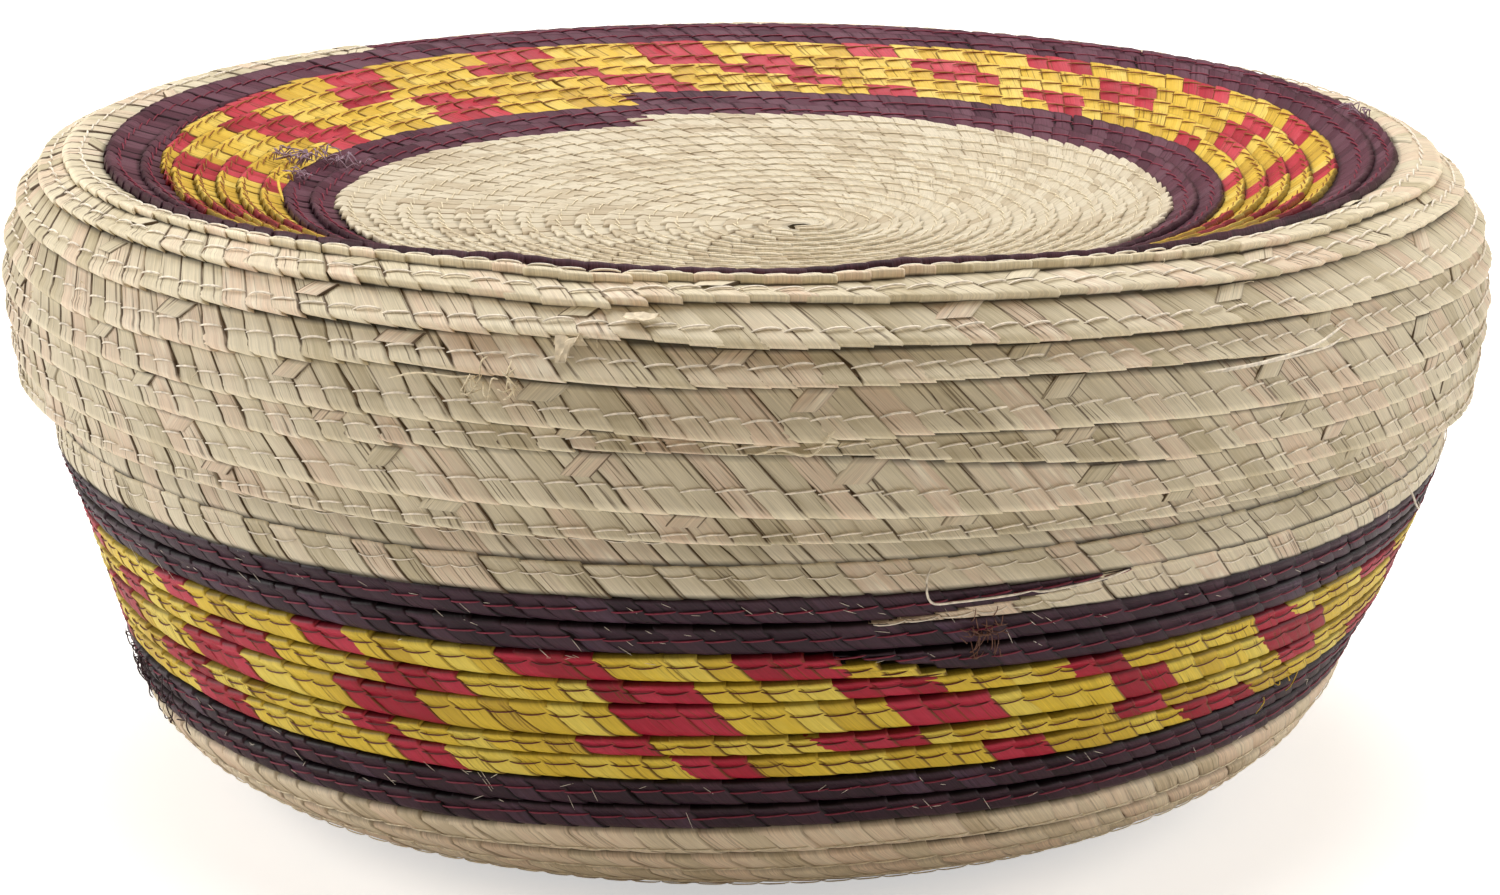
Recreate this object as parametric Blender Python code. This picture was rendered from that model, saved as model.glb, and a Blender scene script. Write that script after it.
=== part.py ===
"""A round tortilla basket sewn from flat palm braid, with its lift-off lid.

Each colour is one strip of braid. The strips are laid end to end and sewn turn on turn
along one spiral for the basket and one for the lid, so a strip here is a closed body with
the lapped rows of its turns on its outer side.
Units are metres and +Z is up. The basket stands on z = 0 with its middle on the Z axis.
Angles are measured from the front, which faces -Y, and grow towards +X.
"""
import math

import bmesh
import bpy
import numpy as np

# The basket's outer side: a flat floor, the foot's roll up from it, and a straight flare
# on to the shoulder under the lid's hem
FLOOR_RADIUS = 0.066
FOOT_ROLL_WIDTH = 0.045
FOOT_ROLL_HEIGHT = 0.027
SHOULDER_RADIUS = 0.1255
SHOULDER_HEIGHT = 0.0645
BASKET_WALL = 0.003
# The neck goes on up inside the lid and leans in by this much at the rim
NECK_LEAN = 0.008
NECK_LEAN_POWER = 1.5

# The widths of the basket's strips, along its outer side. The neck takes what is left.
FOOT_WIDTH = 0.0509
LOWER_PURPLE_WIDTH = 0.0103
PATTERN_WIDTH = 0.0254
UPPER_PURPLE_WIDTH = 0.0114

# The lid hangs its skirt round the shoulder, with room to lift off
LID_CLEARANCE = 0.0015
LID_WALL = 0.0025
SKIRT_TUCK = 0.0036
HEM_LIFT = 0.0085
SKIRT_DROP = 0.0205
SHOULDER_RISE = 0.0228
SHOULDER_ROLL = 0.014
DISH_DEPTH = 0.0172
DISH_POWER = 2.4
CORNER_ROUNDING = 0.0022

# The widths of the lid's strips, along its outer side. The skirt takes what is left.
DISC_WIDTH = 0.0761
INNER_PURPLE_WIDTH = 0.0091
LID_PATTERN_WIDTH = 0.0225
OUTER_PURPLE_WIDTH = 0.0125
LID_SHOULDER_WIDTH = 0.0229

# How far a row's outer edge stands over the next row
WALL_LAP = 0.0011
RING_LAP = 0.0008

# Room between two strips, and between the rim and the lid that sits on it
STRIP_GAP = 0.0003
SEAT_GAP = 0.0003

# Turns of braid in each strip, and how its rows share its width at the front
FLOOR_TURNS = 8
FOOT_ROW_SHARES = (0.153, 0.151, 0.151, 0.153, 0.142, 0.116, 0.134)
LOWER_PURPLE_ROW_SHARES = (0.472, 0.528)
PATTERN_ROW_SHARES = (0.197, 0.146, 0.273, 0.169, 0.215)
UPPER_PURPLE_ROW_SHARES = (0.525, 0.475)
NECK_VISIBLE_ROW_SHARES = (0.111, 0.125)
NECK_HIDDEN_TURNS = 5.5
DISC_TURNS = 16
INNER_PURPLE_ROW_SHARES = (0.5, 0.5)
LID_PATTERN_ROW_SHARES = (0.2, 0.2, 0.2, 0.2, 0.2)
OUTER_PURPLE_ROW_SHARES = (0.5, 0.5)
LID_SHOULDER_ROW_SHARES = (0.210, 0.218, 0.319, 0.253)
SKIRT_ROW_SHARES = (0.279, 0.438, 0.179, 0.104)
# The rim's last turn runs out to this share of a row
RIM_TAPER_SHARE = 0.2

# Where each strip ends and the next one starts, in degrees before its first front row
FLOOR_SEAM = 200
FOOT_SEAM = 160
LOWER_PURPLE_SEAM = 190
PATTERN_SEAM = 350
UPPER_PURPLE_SEAM = 335
DISC_SEAM = 77
INNER_PURPLE_SEAM = 80
LID_PATTERN_SEAM = 177
OUTER_PURPLE_SEAM = 140
LID_SHOULDER_SEAM = 180
HEM_SEAM = 180

# A row's section on its outer side, as shares of its width and of its lap
LAP_SHARES = ((0.86, 1.0),)
BEAD_SHARES = ((0.42, 0.78), (0.87, 1.0))
FLAT_SHARES = ()

# Steps in one turn, along each curve of an outline, and in an outline's even spacing
STATIONS = 37
CURVE_STEPS = 160
OUTLINE_STEPS = 700

NATURAL = (0.74, 0.65, 0.44)
PURPLE = (0.055, 0.028, 0.045)
YELLOW = (0.60, 0.47, 0.05)


class Profile:
    """An outline from the middle outwards, read by its length and faced on its outer side."""

    def __init__(self, points, outer_side):
        self.points = rounded(in_even_steps(points), CORNER_ROUNDING)
        self.outer_side = outer_side
        self.lengths = lengths_along(self.points)
        self.length = float(self.lengths[-1])

    def point(self, along):
        return np.array([np.interp(along, self.lengths, self.points[:, i]) for i in (0, 1)])

    def offset(self, along, depth):
        """The point this far along that stands depth out from the outline."""
        reach = self.length / OUTLINE_STEPS
        run, rise = self.point(along + reach) - self.point(along - reach)
        size = math.hypot(run, rise)
        r, z = self.point(along)
        return (r + depth * self.outer_side * rise / size,
                z - depth * self.outer_side * run / size)


def lengths_along(points):
    """The length from the first point to each point."""
    steps = np.hypot(*np.diff(points, axis=0).T)
    return np.concatenate([[0.0], np.cumsum(steps)])


def in_even_steps(points):
    """The same outline with its points at equal lengths."""
    points = np.array(points)
    lengths = lengths_along(points)
    even = np.linspace(0.0, lengths[-1], OUTLINE_STEPS + 1)
    return np.column_stack([np.interp(even, lengths, points[:, i]) for i in (0, 1)])


def rounded(points, reach):
    """The outline with its corners rounded, by the mean of the points within reach."""
    step = math.dist(points[0], points[1])
    last = len(points) - 1
    result = []
    for i in range(len(points)):
        near = min(round(reach / step), i, last - i)
        result.append(points[i - near:i + near + 1].mean(axis=0))
    return np.array(result)


def evenly(count):
    """Shares from 0 to 1 in equal steps."""
    return [i / count for i in range(count + 1)]


def foot_roll_turn():
    """How far the foot rolls up, in radians, before it runs straight on to the shoulder."""
    out = (SHOULDER_RADIUS - FLOOR_RADIUS) / FOOT_ROLL_WIDTH
    up = SHOULDER_HEIGHT / FOOT_ROLL_HEIGHT - 1
    return math.atan2(out, -up) - math.acos(1 / math.hypot(out, up))


def basket_outline(rim_height):
    """Flat floor, a rolled foot, a straight flare, and a neck that leans in to the rim."""
    points = [(FLOOR_RADIUS * u, 0.0) for u in evenly(CURVE_STEPS)]
    for u in evenly(CURVE_STEPS)[1:]:
        turn = u * foot_roll_turn()
        points.append((FLOOR_RADIUS + FOOT_ROLL_WIDTH * math.sin(turn),
                       FOOT_ROLL_HEIGHT * (1 - math.cos(turn))))
    radius, height = points[-1]
    points += [(radius + (SHOULDER_RADIUS - radius) * u, height + (SHOULDER_HEIGHT - height) * u)
               for u in evenly(CURVE_STEPS)[1:]]
    neck = rim_height - SHOULDER_HEIGHT
    points += [(SHOULDER_RADIUS - NECK_LEAN * u ** NECK_LEAN_POWER, SHOULDER_HEIGHT + neck * u)
               for u in evenly(CURVE_STEPS)[1:]]
    return points


def lid_outline():
    """A dished top, a crest, a shoulder rolled down to the skirt, and the skirt's tuck."""
    hem_radius = SHOULDER_RADIUS + WALL_LAP + LID_CLEARANCE + LID_WALL
    lid_radius = hem_radius + SKIRT_TUCK
    crest_radius = lid_radius - SHOULDER_ROLL
    widest_height = SHOULDER_HEIGHT + HEM_LIFT + SKIRT_DROP
    centre_height = widest_height + SHOULDER_RISE - DISH_DEPTH
    points = [(crest_radius * u, centre_height + DISH_DEPTH * u ** DISH_POWER)
              for u in evenly(CURVE_STEPS)]
    for u in evenly(CURVE_STEPS)[1:]:
        turn = u * math.pi / 2
        points.append((crest_radius + SHOULDER_ROLL * math.sin(turn),
                       widest_height + SHOULDER_RISE * math.cos(turn)))
    points += [(lid_radius - SKIRT_TUCK * u * u, widest_height - SKIRT_DROP * u)
               for u in evenly(CURVE_STEPS)[1:]]
    return points


def height_under(profile, radius, depth):
    """The height of a wall's inner side over this radius, where the outline rises outwards."""
    r0, z0 = profile.offset(0.0, -depth)
    for u in evenly(CURVE_STEPS)[1:]:
        r1, z1 = profile.offset(profile.length * u, -depth)
        if r1 >= radius:
            return z0 + (z1 - z0) * (radius - r0) / (r1 - r0)
        r0, z0 = r1, z1
    return z0


def seated_rim_height(lid):
    """The rim height at which the basket's neck just carries the lid."""
    rim_height = SHOULDER_HEIGHT + SKIRT_DROP + SHOULDER_RISE
    for _ in range(4):
        neck = Profile(basket_outline(rim_height), 1)
        corners = [neck.offset(neck.length, 0.0), neck.offset(neck.length, -BASKET_WALL)]
        slack = min(height_under(lid, r, LID_WALL) - z for r, z in corners)
        rim_height += slack - SEAT_GAP
    return rim_height


class Spiral:
    """Where the sewn spiral lies along an outline: its length for each turn of the braid."""

    def __init__(self, knots):
        self.knots = knots

    def along(self, turn):
        for (t0, s0), (t1, s1) in zip(self.knots, self.knots[1:]):
            if turn <= t1:
                return s0 + (s1 - s0) * (turn - t0) / (t1 - t0)
        return self.knots[-1][1]


def add_rows(knots, shares, width):
    """Carry the spiral on by whole turns whose rows share out this width."""
    for share in shares:
        turn, along = knots[-1]
        knots.append((turn + 1, along + share * width))


def basket_spiral(profile):
    knots = [(0, 0.0)]
    add_rows(knots, [1 / FLOOR_TURNS] * FLOOR_TURNS, FLOOR_RADIUS)
    add_rows(knots, FOOT_ROW_SHARES, FOOT_WIDTH)
    add_rows(knots, LOWER_PURPLE_ROW_SHARES, LOWER_PURPLE_WIDTH)
    add_rows(knots, PATTERN_ROW_SHARES, PATTERN_WIDTH)
    add_rows(knots, UPPER_PURPLE_ROW_SHARES, UPPER_PURPLE_WIDTH)
    add_rows(knots, NECK_VISIBLE_ROW_SHARES, profile.length - knots[-1][1])
    turn, along = knots[-1]
    row = (profile.length - along) / NECK_HIDDEN_TURNS
    last = turn + NECK_HIDDEN_TURNS
    knots.append((last - 1, profile.length - row))
    knots.append((last, profile.length - row * RIM_TAPER_SHARE))
    knots.append((last + 1, profile.length))
    return Spiral(knots)


def lid_spiral(profile):
    knots = [(0, 0.0)]
    add_rows(knots, [1 / DISC_TURNS] * DISC_TURNS, DISC_WIDTH)
    add_rows(knots, INNER_PURPLE_ROW_SHARES, INNER_PURPLE_WIDTH)
    add_rows(knots, LID_PATTERN_ROW_SHARES, LID_PATTERN_WIDTH)
    add_rows(knots, OUTER_PURPLE_ROW_SHARES, OUTER_PURPLE_WIDTH)
    add_rows(knots, LID_SHOULDER_ROW_SHARES, LID_SHOULDER_WIDTH)
    add_rows(knots, SKIRT_ROW_SHARES, profile.length - knots[-1][1])
    return Spiral(knots)


class Side:
    """One wound wall: its outline, its spiral and its thickness."""

    def __init__(self, profile, spiral, wall):
        self.profile = profile
        self.spiral = spiral
        self.wall = wall


def strip_mesh(side, first_turn, last_turn, row_shares, lap):
    """The closed body of one strip of braid that is wound from first_turn to last_turn.

    The row at a station lies between the spiral there and the spiral one turn later.
    """
    start, end = round(first_turn * STATIONS), round(last_turn * STATIONS)
    from_centre = start == 0
    mesh = bmesh.new()
    made = {}

    def vertex(station, mid=0, inner=False):
        if from_centre and station <= 0 and mid == 0:
            station = 0
        key = (station, mid, inner)
        if key in made:
            return made[key]
        turn = station / STATIONS
        share, rise = row_shares[mid - 1] if mid else (0.0, 0.0)
        along = side.spiral.along(turn)
        along += share * (side.spiral.along(turn + 1) - along)
        if mid == 0 and start <= station <= start + STATIONS and not from_centre:
            along += STRIP_GAP / 2
        if mid == 0 and end <= station <= end + STATIONS:
            along -= STRIP_GAP / 2
        r, z = side.profile.offset(along, -side.wall if inner else rise * lap)
        centre = from_centre and station == 0 and mid == 0
        r = 0.0 if centre else r
        aside = 0.0
        if not from_centre and (station == start or (station == start + STATIONS and mid == 0)):
            aside = STRIP_GAP / 2
        if station == end or (station == end + STATIONS and mid == 0):
            aside = -STRIP_GAP / 2
        angle = 2 * math.pi * turn
        x = r * math.sin(angle) + aside * math.cos(angle)
        y = -r * math.cos(angle) + aside * math.sin(angle)
        made[key] = mesh.verts.new((x, y, max(z, 0.0)))
        return made[key]

    def face(corners):
        loop = []
        for corner in corners:
            if not loop or corner is not loop[-1]:
                loop.append(corner)
        if loop[0] is loop[-1]:
            loop.pop()
        if len(loop) > 2:
            mesh.faces.new(loop)

    def row_section(station):
        mids = [vertex(station, mid) for mid in range(1, len(row_shares) + 1)]
        return [vertex(station)] + mids + [vertex(station + STATIONS)]

    if from_centre:
        for station in range(-STATIONS, 0):
            ahead = vertex(station + STATIONS + 1)
            mids = row_section(0)[1:-1][::-1] if station == -1 else []
            face([vertex(0), vertex(station + STATIONS), ahead] + mids)
            face([vertex(0, 0, True), vertex(station + STATIONS + 1, 0, True),
                  vertex(station + STATIONS, 0, True)])
    for station in range(start, end):
        here, ahead = row_section(station), row_section(station + 1)
        for j in range(len(here) - 1):
            face([here[j], ahead[j], ahead[j + 1], here[j + 1]])
        inner = [vertex(g, 0, True) for g in (station, station + STATIONS,
                                              station + STATIONS + 1, station + 1)]
        face(inner)
    edges = [range(end, end + STATIONS)]
    if not from_centre:
        edges.append(range(start, start + STATIONS))
        face(row_section(start) + [vertex(start + STATIONS, 0, True), vertex(start, 0, True)])
    face(row_section(end) + [vertex(end + STATIONS, 0, True), vertex(end, 0, True)])
    for edge in edges:
        for station in edge:
            face([vertex(station), vertex(station + 1),
                  vertex(station + 1, 0, True), vertex(station, 0, True)])
    bmesh.ops.recalc_face_normals(mesh, faces=mesh.faces)
    return mesh


def palm_material(name, colour):
    material = bpy.data.materials.new(name)
    material.use_nodes = True
    shader = material.node_tree.nodes["Principled BSDF"]
    shader.inputs["Base Color"].default_value = (*colour, 1.0)
    shader.inputs["Roughness"].default_value = 0.6
    shader.inputs["Metallic"].default_value = 0.0
    return material


def add_strip(name, side, first_turn, last_turn, row_shares, lap, colour, parent):
    built = strip_mesh(side, first_turn, last_turn, row_shares, lap)
    data = bpy.data.meshes.new(name)
    built.to_mesh(data)
    built.free()
    data.materials.append(palm_material(name, colour))
    data.shade_smooth()
    data.set_sharp_from_angle(angle=math.radians(28))
    strip = bpy.data.objects.new(name, data)
    bpy.context.scene.collection.objects.link(strip)
    strip.parent = parent
    return strip


def add_empty(name):
    empty = bpy.data.objects.new(name, None)
    bpy.context.scene.collection.objects.link(empty)
    return empty


def seam_turns(strips):
    """Turn each strip's first front row and its seam's angle into a place on the spiral."""
    return [row - seam / 360 for row, seam in strips]


def build_basket(lid_profile):
    basket = add_empty("basket_axis")
    profile = Profile(basket_outline(seated_rim_height(lid_profile)), 1)
    side = Side(profile, basket_spiral(profile), BASKET_WALL)
    foot = FLOOR_TURNS
    lower_purple = foot + len(FOOT_ROW_SHARES)
    pattern = lower_purple + len(LOWER_PURPLE_ROW_SHARES)
    upper_purple = pattern + len(PATTERN_ROW_SHARES)
    neck = upper_purple + len(UPPER_PURPLE_ROW_SHARES)
    rim = neck + len(NECK_VISIBLE_ROW_SHARES) + NECK_HIDDEN_TURNS
    turns = [0.0] + seam_turns([(foot, FLOOR_SEAM), (lower_purple, FOOT_SEAM),
                                (pattern, LOWER_PURPLE_SEAM), (upper_purple, PATTERN_SEAM),
                                (neck, UPPER_PURPLE_SEAM)]) + [rim]
    strips = (("basket_floor_braid", FLAT_SHARES, NATURAL),
              ("basket_foot_braid", LAP_SHARES, NATURAL),
              ("basket_lower_purple_braid", BEAD_SHARES, PURPLE),
              ("basket_pattern_braid", BEAD_SHARES, YELLOW),
              ("basket_upper_purple_braid", BEAD_SHARES, PURPLE),
              ("basket_neck_braid", LAP_SHARES, NATURAL))
    for (name, row_shares, colour), first, last in zip(strips, turns, turns[1:]):
        add_strip(name, side, first, last, row_shares, WALL_LAP, colour, basket)


def build_lid(profile):
    lid = add_empty("lid_axis")
    side = Side(profile, lid_spiral(profile), LID_WALL)
    inner_purple = DISC_TURNS
    pattern = inner_purple + len(INNER_PURPLE_ROW_SHARES)
    outer_purple = pattern + len(LID_PATTERN_ROW_SHARES)
    shoulder = outer_purple + len(OUTER_PURPLE_ROW_SHARES)
    skirt = shoulder + len(LID_SHOULDER_ROW_SHARES)
    hem = skirt + len(SKIRT_ROW_SHARES) - 1 - HEM_SEAM / 360
    turns = [0.0] + seam_turns([(inner_purple, DISC_SEAM), (pattern, INNER_PURPLE_SEAM),
                                (outer_purple, LID_PATTERN_SEAM),
                                (shoulder, OUTER_PURPLE_SEAM),
                                (skirt, LID_SHOULDER_SEAM)]) + [hem]
    strips = (("lid_centre_braid", LAP_SHARES, RING_LAP, NATURAL),
              ("lid_inner_purple_braid", LAP_SHARES, RING_LAP, PURPLE),
              ("lid_pattern_braid", LAP_SHARES, RING_LAP, YELLOW),
              ("lid_outer_purple_braid", LAP_SHARES, RING_LAP, PURPLE),
              ("lid_shoulder_braid", LAP_SHARES, WALL_LAP, NATURAL),
              ("lid_skirt_braid", BEAD_SHARES, WALL_LAP, NATURAL))
    for (name, row_shares, lap, colour), first, last in zip(strips, turns, turns[1:]):
        add_strip(name, side, first, last, row_shares, lap, colour, lid)


def main():
    for thing in list(bpy.data.objects):
        bpy.data.objects.remove(thing, do_unlink=True)
    lid_profile = Profile(lid_outline(), -1)
    build_basket(lid_profile)
    build_lid(lid_profile)


main()
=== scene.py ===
"""Dresses the tortilla basket and its lid in plaited palm leaf, thread and dye.

The basket and the lid are each one flat braid wound turn on turn. A place on a wound wall is
given by its turn of the spiral, its length along the wall's outline and its height over it.
Turns count from the middle, whole turns lie at the front, and lengths are in metres. Row n
is the braid between turn n and turn n + 1 at the front, and angles are degrees from the
front towards the right.
"""
import math

import bpy
import numpy as np
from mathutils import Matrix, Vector


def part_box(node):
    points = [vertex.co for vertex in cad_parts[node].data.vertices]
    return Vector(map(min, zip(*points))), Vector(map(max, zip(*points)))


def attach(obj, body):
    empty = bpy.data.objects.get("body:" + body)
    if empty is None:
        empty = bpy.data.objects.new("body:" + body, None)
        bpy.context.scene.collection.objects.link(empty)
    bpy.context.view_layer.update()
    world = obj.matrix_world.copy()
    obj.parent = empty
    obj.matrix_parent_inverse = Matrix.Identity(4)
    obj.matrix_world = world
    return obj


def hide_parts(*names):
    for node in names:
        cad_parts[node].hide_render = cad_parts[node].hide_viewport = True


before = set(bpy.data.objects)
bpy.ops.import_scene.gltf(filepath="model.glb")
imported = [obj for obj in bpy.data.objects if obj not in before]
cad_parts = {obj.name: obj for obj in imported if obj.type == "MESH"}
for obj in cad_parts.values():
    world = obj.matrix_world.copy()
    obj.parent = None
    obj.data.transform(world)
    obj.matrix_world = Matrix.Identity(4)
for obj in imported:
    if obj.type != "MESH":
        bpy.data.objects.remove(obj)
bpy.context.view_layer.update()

MM = 0.001
FULL_TURN = 2 * math.pi
TINY = 1e-9

# How finely things are made: the points of one curve and of a whole outline, those of a lay
# line and of a ribbon in each turn, the sides and lengths of thread, and a torn tongue's grid
CURVE_POINTS = 161
OUTLINE_POINTS = 701
LAY_POINTS = 360
RIBBON_POINTS = 90
THREAD_SIDES = 5
STITCH_LENGTHS = 6
TONGUE_POINTS = 5

# The outline of the basket and of the lid, as the solids have it. The two bends are powers:
# the higher the power, the later the wall turns away.
FLOOR_RADIUS = 66.0 * MM
FOOT_ROLL_WIDTH = 45.0 * MM
FOOT_ROLL_HEIGHT = 27.0 * MM
SHOULDER_RADIUS = 125.5 * MM
SHOULDER_HEIGHT = 64.5 * MM
NECK_LEAN = 8.0 * MM
NECK_BEND = 1.5
BASKET_WALL = 3.0 * MM
LID_RADIUS = 134.2 * MM
CREST_RADIUS = 120.2 * MM
WIDEST_HEIGHT = 93.5 * MM
SHOULDER_RISE = 22.8 * MM
SKIRT_DROP = 20.5 * MM
SKIRT_TUCK = 3.6 * MM
DISH_DEPTH = 17.2 * MM
DISH_BEND = 2.4
LID_WALL = 2.5 * MM
CORNER_ROUNDING = 2.2 * MM

# How far along the outline the spiral is at a turn, in millimetres
BASKET_SPIRAL = {0: 0, 8: 66, 9: 73.8, 10: 81.5, 11: 89.2, 12: 96.9, 13: 104.2, 14: 110.1,
                 15: 116.9, 16: 121.8, 17: 127.2, 18: 132.2, 19: 135.9, 20: 142.8, 21: 147.1,
                 22: 152.6, 23: 158.6, 24: 164.0, 25: 169.3, 26: 175.3, 31: 208.6}
LID_SPIRAL = {0: 0, 16: 76.1, 17: 81.0, 18: 86.0, 19: 90.0, 20: 94.0, 21: 98.0, 22: 102.0,
              23: 106.3, 24: 112.6, 24.5: 117.2, 24.62: 118.6, 24.75: 117.6, 25: 120.2,
              25.12: 119.8, 25.25: 118.6, 25.31: 119.2, 25.36: 121.5, 25.42: 124, 25.6: 125,
              26: 125.0, 27: 130.0, 28: 137.3, 29: 143.1, 30: 151.2, 31: 156.0, 32: 163.9,
              33: 169.1, 34: 172.1}

# The rows aren't wound quite level. By angle, how many millimetres they have drifted along
# the outline, and by turn, how much of that drift a row has
BASKET_DRIFT = {-180: 0, -70: 0.4, -60: 0, -45: -1.3, -25: -1.8, -10: -0.5, 0: 0, 12: 0.4,
                30: -0.4, 42: 0.4, 55: 1.8, 68: 3.2, 90: 3.6, 120: 2.4, 180: 0}
BASKET_DRIFT_SHARE = {8: 0, 13: 0.8, 15: 1, 19: 1, 24: 0.25, 25: 0}
LID_DRIFT = {-180: 0, -90: 1.2, -60: 2.3, -45: 1.7, -30: 0.6, -20: 0, -5: -0.3, 0: 0, 15: 0.3,
             30: 1.2, 45: 2.1, 60: 1.7, 90: 1, 180: 0}
LID_DRIFT_SHARE = {25.4: 0, 26: 1, 29: 1, 30: 0.1, 31: 0.4, 32: 0, 33: 0}
RING_DRIFT = {-180: 2.6, -160: 3.0, -140: 2.0, -120: 0.8, -100: 0, 85: 0, 100: 0.8, 112: 2.6,
              130: 3.2, 155: 3.0, 170: 2.2, 180: 2.6}
RING_DRIFT_SHARE = {15.5: 0, 16.5: 0.35, 17.5: 0.4, 18.3: 1, 24: 1, 24.5: 0.4, 25: 0}

# The free edges of the lid's outer rows wave too. By row and angle, in millimetres
LID_WAVES = {25: {-100: 0, -40: 0, -20: 0.4, 20: 0.4, 40: 0, 100: 0},
             26: {-100: 0, -60: -1.4, -34: -2.2, -24: -1.7, -12: 0.1, -6: -1.1, 4: -0.4, 18: -2.1,
                  30: -1.8, 42: -0.8, 60: -1.0, 100: 0},
             27: {-100: 0, -60: -0.6, -20: -0.3, -12: 0.8, -6: -0.7, 0: -1.2, 18: -0.8, 40: -0.1,
                  60: -1.2, 100: 0},
             28: {-100: 0, -54: -0.6, -24: -0.4, -15: -1.4, -9: -1.4, -5: -0.2, 30: -0.3, 60: 0.3,
                  100: 0},
             29: {-100: 0, -50: 0.8, -40: 0.6, -25: -0.9, -18: 0.2, -6: 1.0, 5: -0.6, 24: -1.0,
                  40: -0.3, 100: 0},
             30: {-100: 0, -40: 0.7, -24: -0.1, -12: -0.8, 0: 1.1, 12: 0, 30: 0.7, 42: 1.8, 100: 0},
             31: {-100: 0, -42: 1.0, -12: -1.9, 6: -2.3, 14: -0.6, 30: 2.8, 40: 1.8, 100: 0},
             32: {-100: 0, -30: 0.8, -12: 0, 12: 1.4, 40: 0.9, 100: 0}}

# Where the red blocks of the dyed bands start in each row, and how long they are, in degrees
BASKET_BLOCKS = {17: (-54, -30, -5, 20, 42), 18: (-60, -36, -13, 8, 31, 51),
                 19: (-52, -33, -9, 13, 31, 49), 20: (-66, -49, -30, -11, 8, 26, 44, 61),
                 21: (-57, -38, -18, 1, 20, 41)}
LID_BLOCKS = {18: (-147, -122, -95, 88, 110, 134, 158),
              19: (-175, -148, -122, -97, 81, 103, 137, 167),
              20: (-171, -144, -120, -99, 86, 106, 127, 150, 172),
              21: (-164, -136, -119, -94, 87, 107, 130, 153, 175),
              22: (-155, -138, -115, -94, 80, 100, 121, 141, 162),
              23: (-177, -158, -138, -121, -102, -84)}
BASKET_BLOCK_LENGTH = 7.0
LID_BLOCK_LENGTH = 7.6

# Two torn tongues of leaf at the lid's front, by angle, row and height in millimetres: the
# left and right ends of the root, and the right and left ends of the tip. Then how thick
# they are, how far they curl, both in millimetres, how ragged they are, in rows, and how
# fast that changes across them.
TORN_TONGUES = (((-8.2, 27.12, 0.8), (-6.0, 27.12, 0.8), (-6.6, 27.50, 2.0), (-8.6, 27.38, 2.1)),
                ((-13.3, 27.92, 0.9), (-10.9, 27.92, 0.9), (-12.0, 28.1, 1.6), (-13.0, 28.2, 1.8)))
TONGUE_THICKNESS = 0.25
TONGUE_CURL = 0.5
TONGUE_RAGGEDNESS = 0.05
TONGUE_TEETH = 11

# How the soft walls are out of true. The lid's right side, the back of its disc and its
# back rim sag, its front rim stands up, and its centre lies to the right. The basket bulges
# at the right and leans. Amounts, radii and heights are in millimetres: a pair says where a
# change starts and is full, and a four where it also starts to fade and is gone. Angles are
# the middle and how far it reaches to both sides. Within its clearance of the axis, the
# way outwards fades to nothing.
SIDE_SAG = 3.0
SIDE_SAG_ANGLES = (108, 64)
SIDE_SAG_RADII = (117, 129)
DISC_SAG = 1.1
DISC_SAG_RADII = (30, 65, 85, 115)
BACK_RIM_SAG = 1.2
BACK_RIM_SAG_RADII = (111, 121)
AXIS_CLEARANCE = 1.0
RIM_LIFT = {-60: 0, -41: 0.5, -33: 1.0, -23: 1.3, -19: 1.8, -13: 1.0, -8: 0.7, 2: 0.3, 6: 0.5,
            12: 1.8, 18: 1.2, 25: 0.8, 34: 0}
RIM_LIFT_RADII = (104, 114, 116, 126)
CENTRE_SHIFT = 10.6
CENTRE_SHIFT_RADIUS = 76
BULGE = 1.2
BULGE_ANGLES = (80, 60)
BULGE_HEIGHTS = (28, 40, 64, 74)
BASKET_LEAN = {0: -2.4, 8: -2.4, 16: -2.2, 26: -1.3, 34: -0.8, 44: -0.3, 55: 0.2, 66: 0.1, 75: 0}


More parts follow.
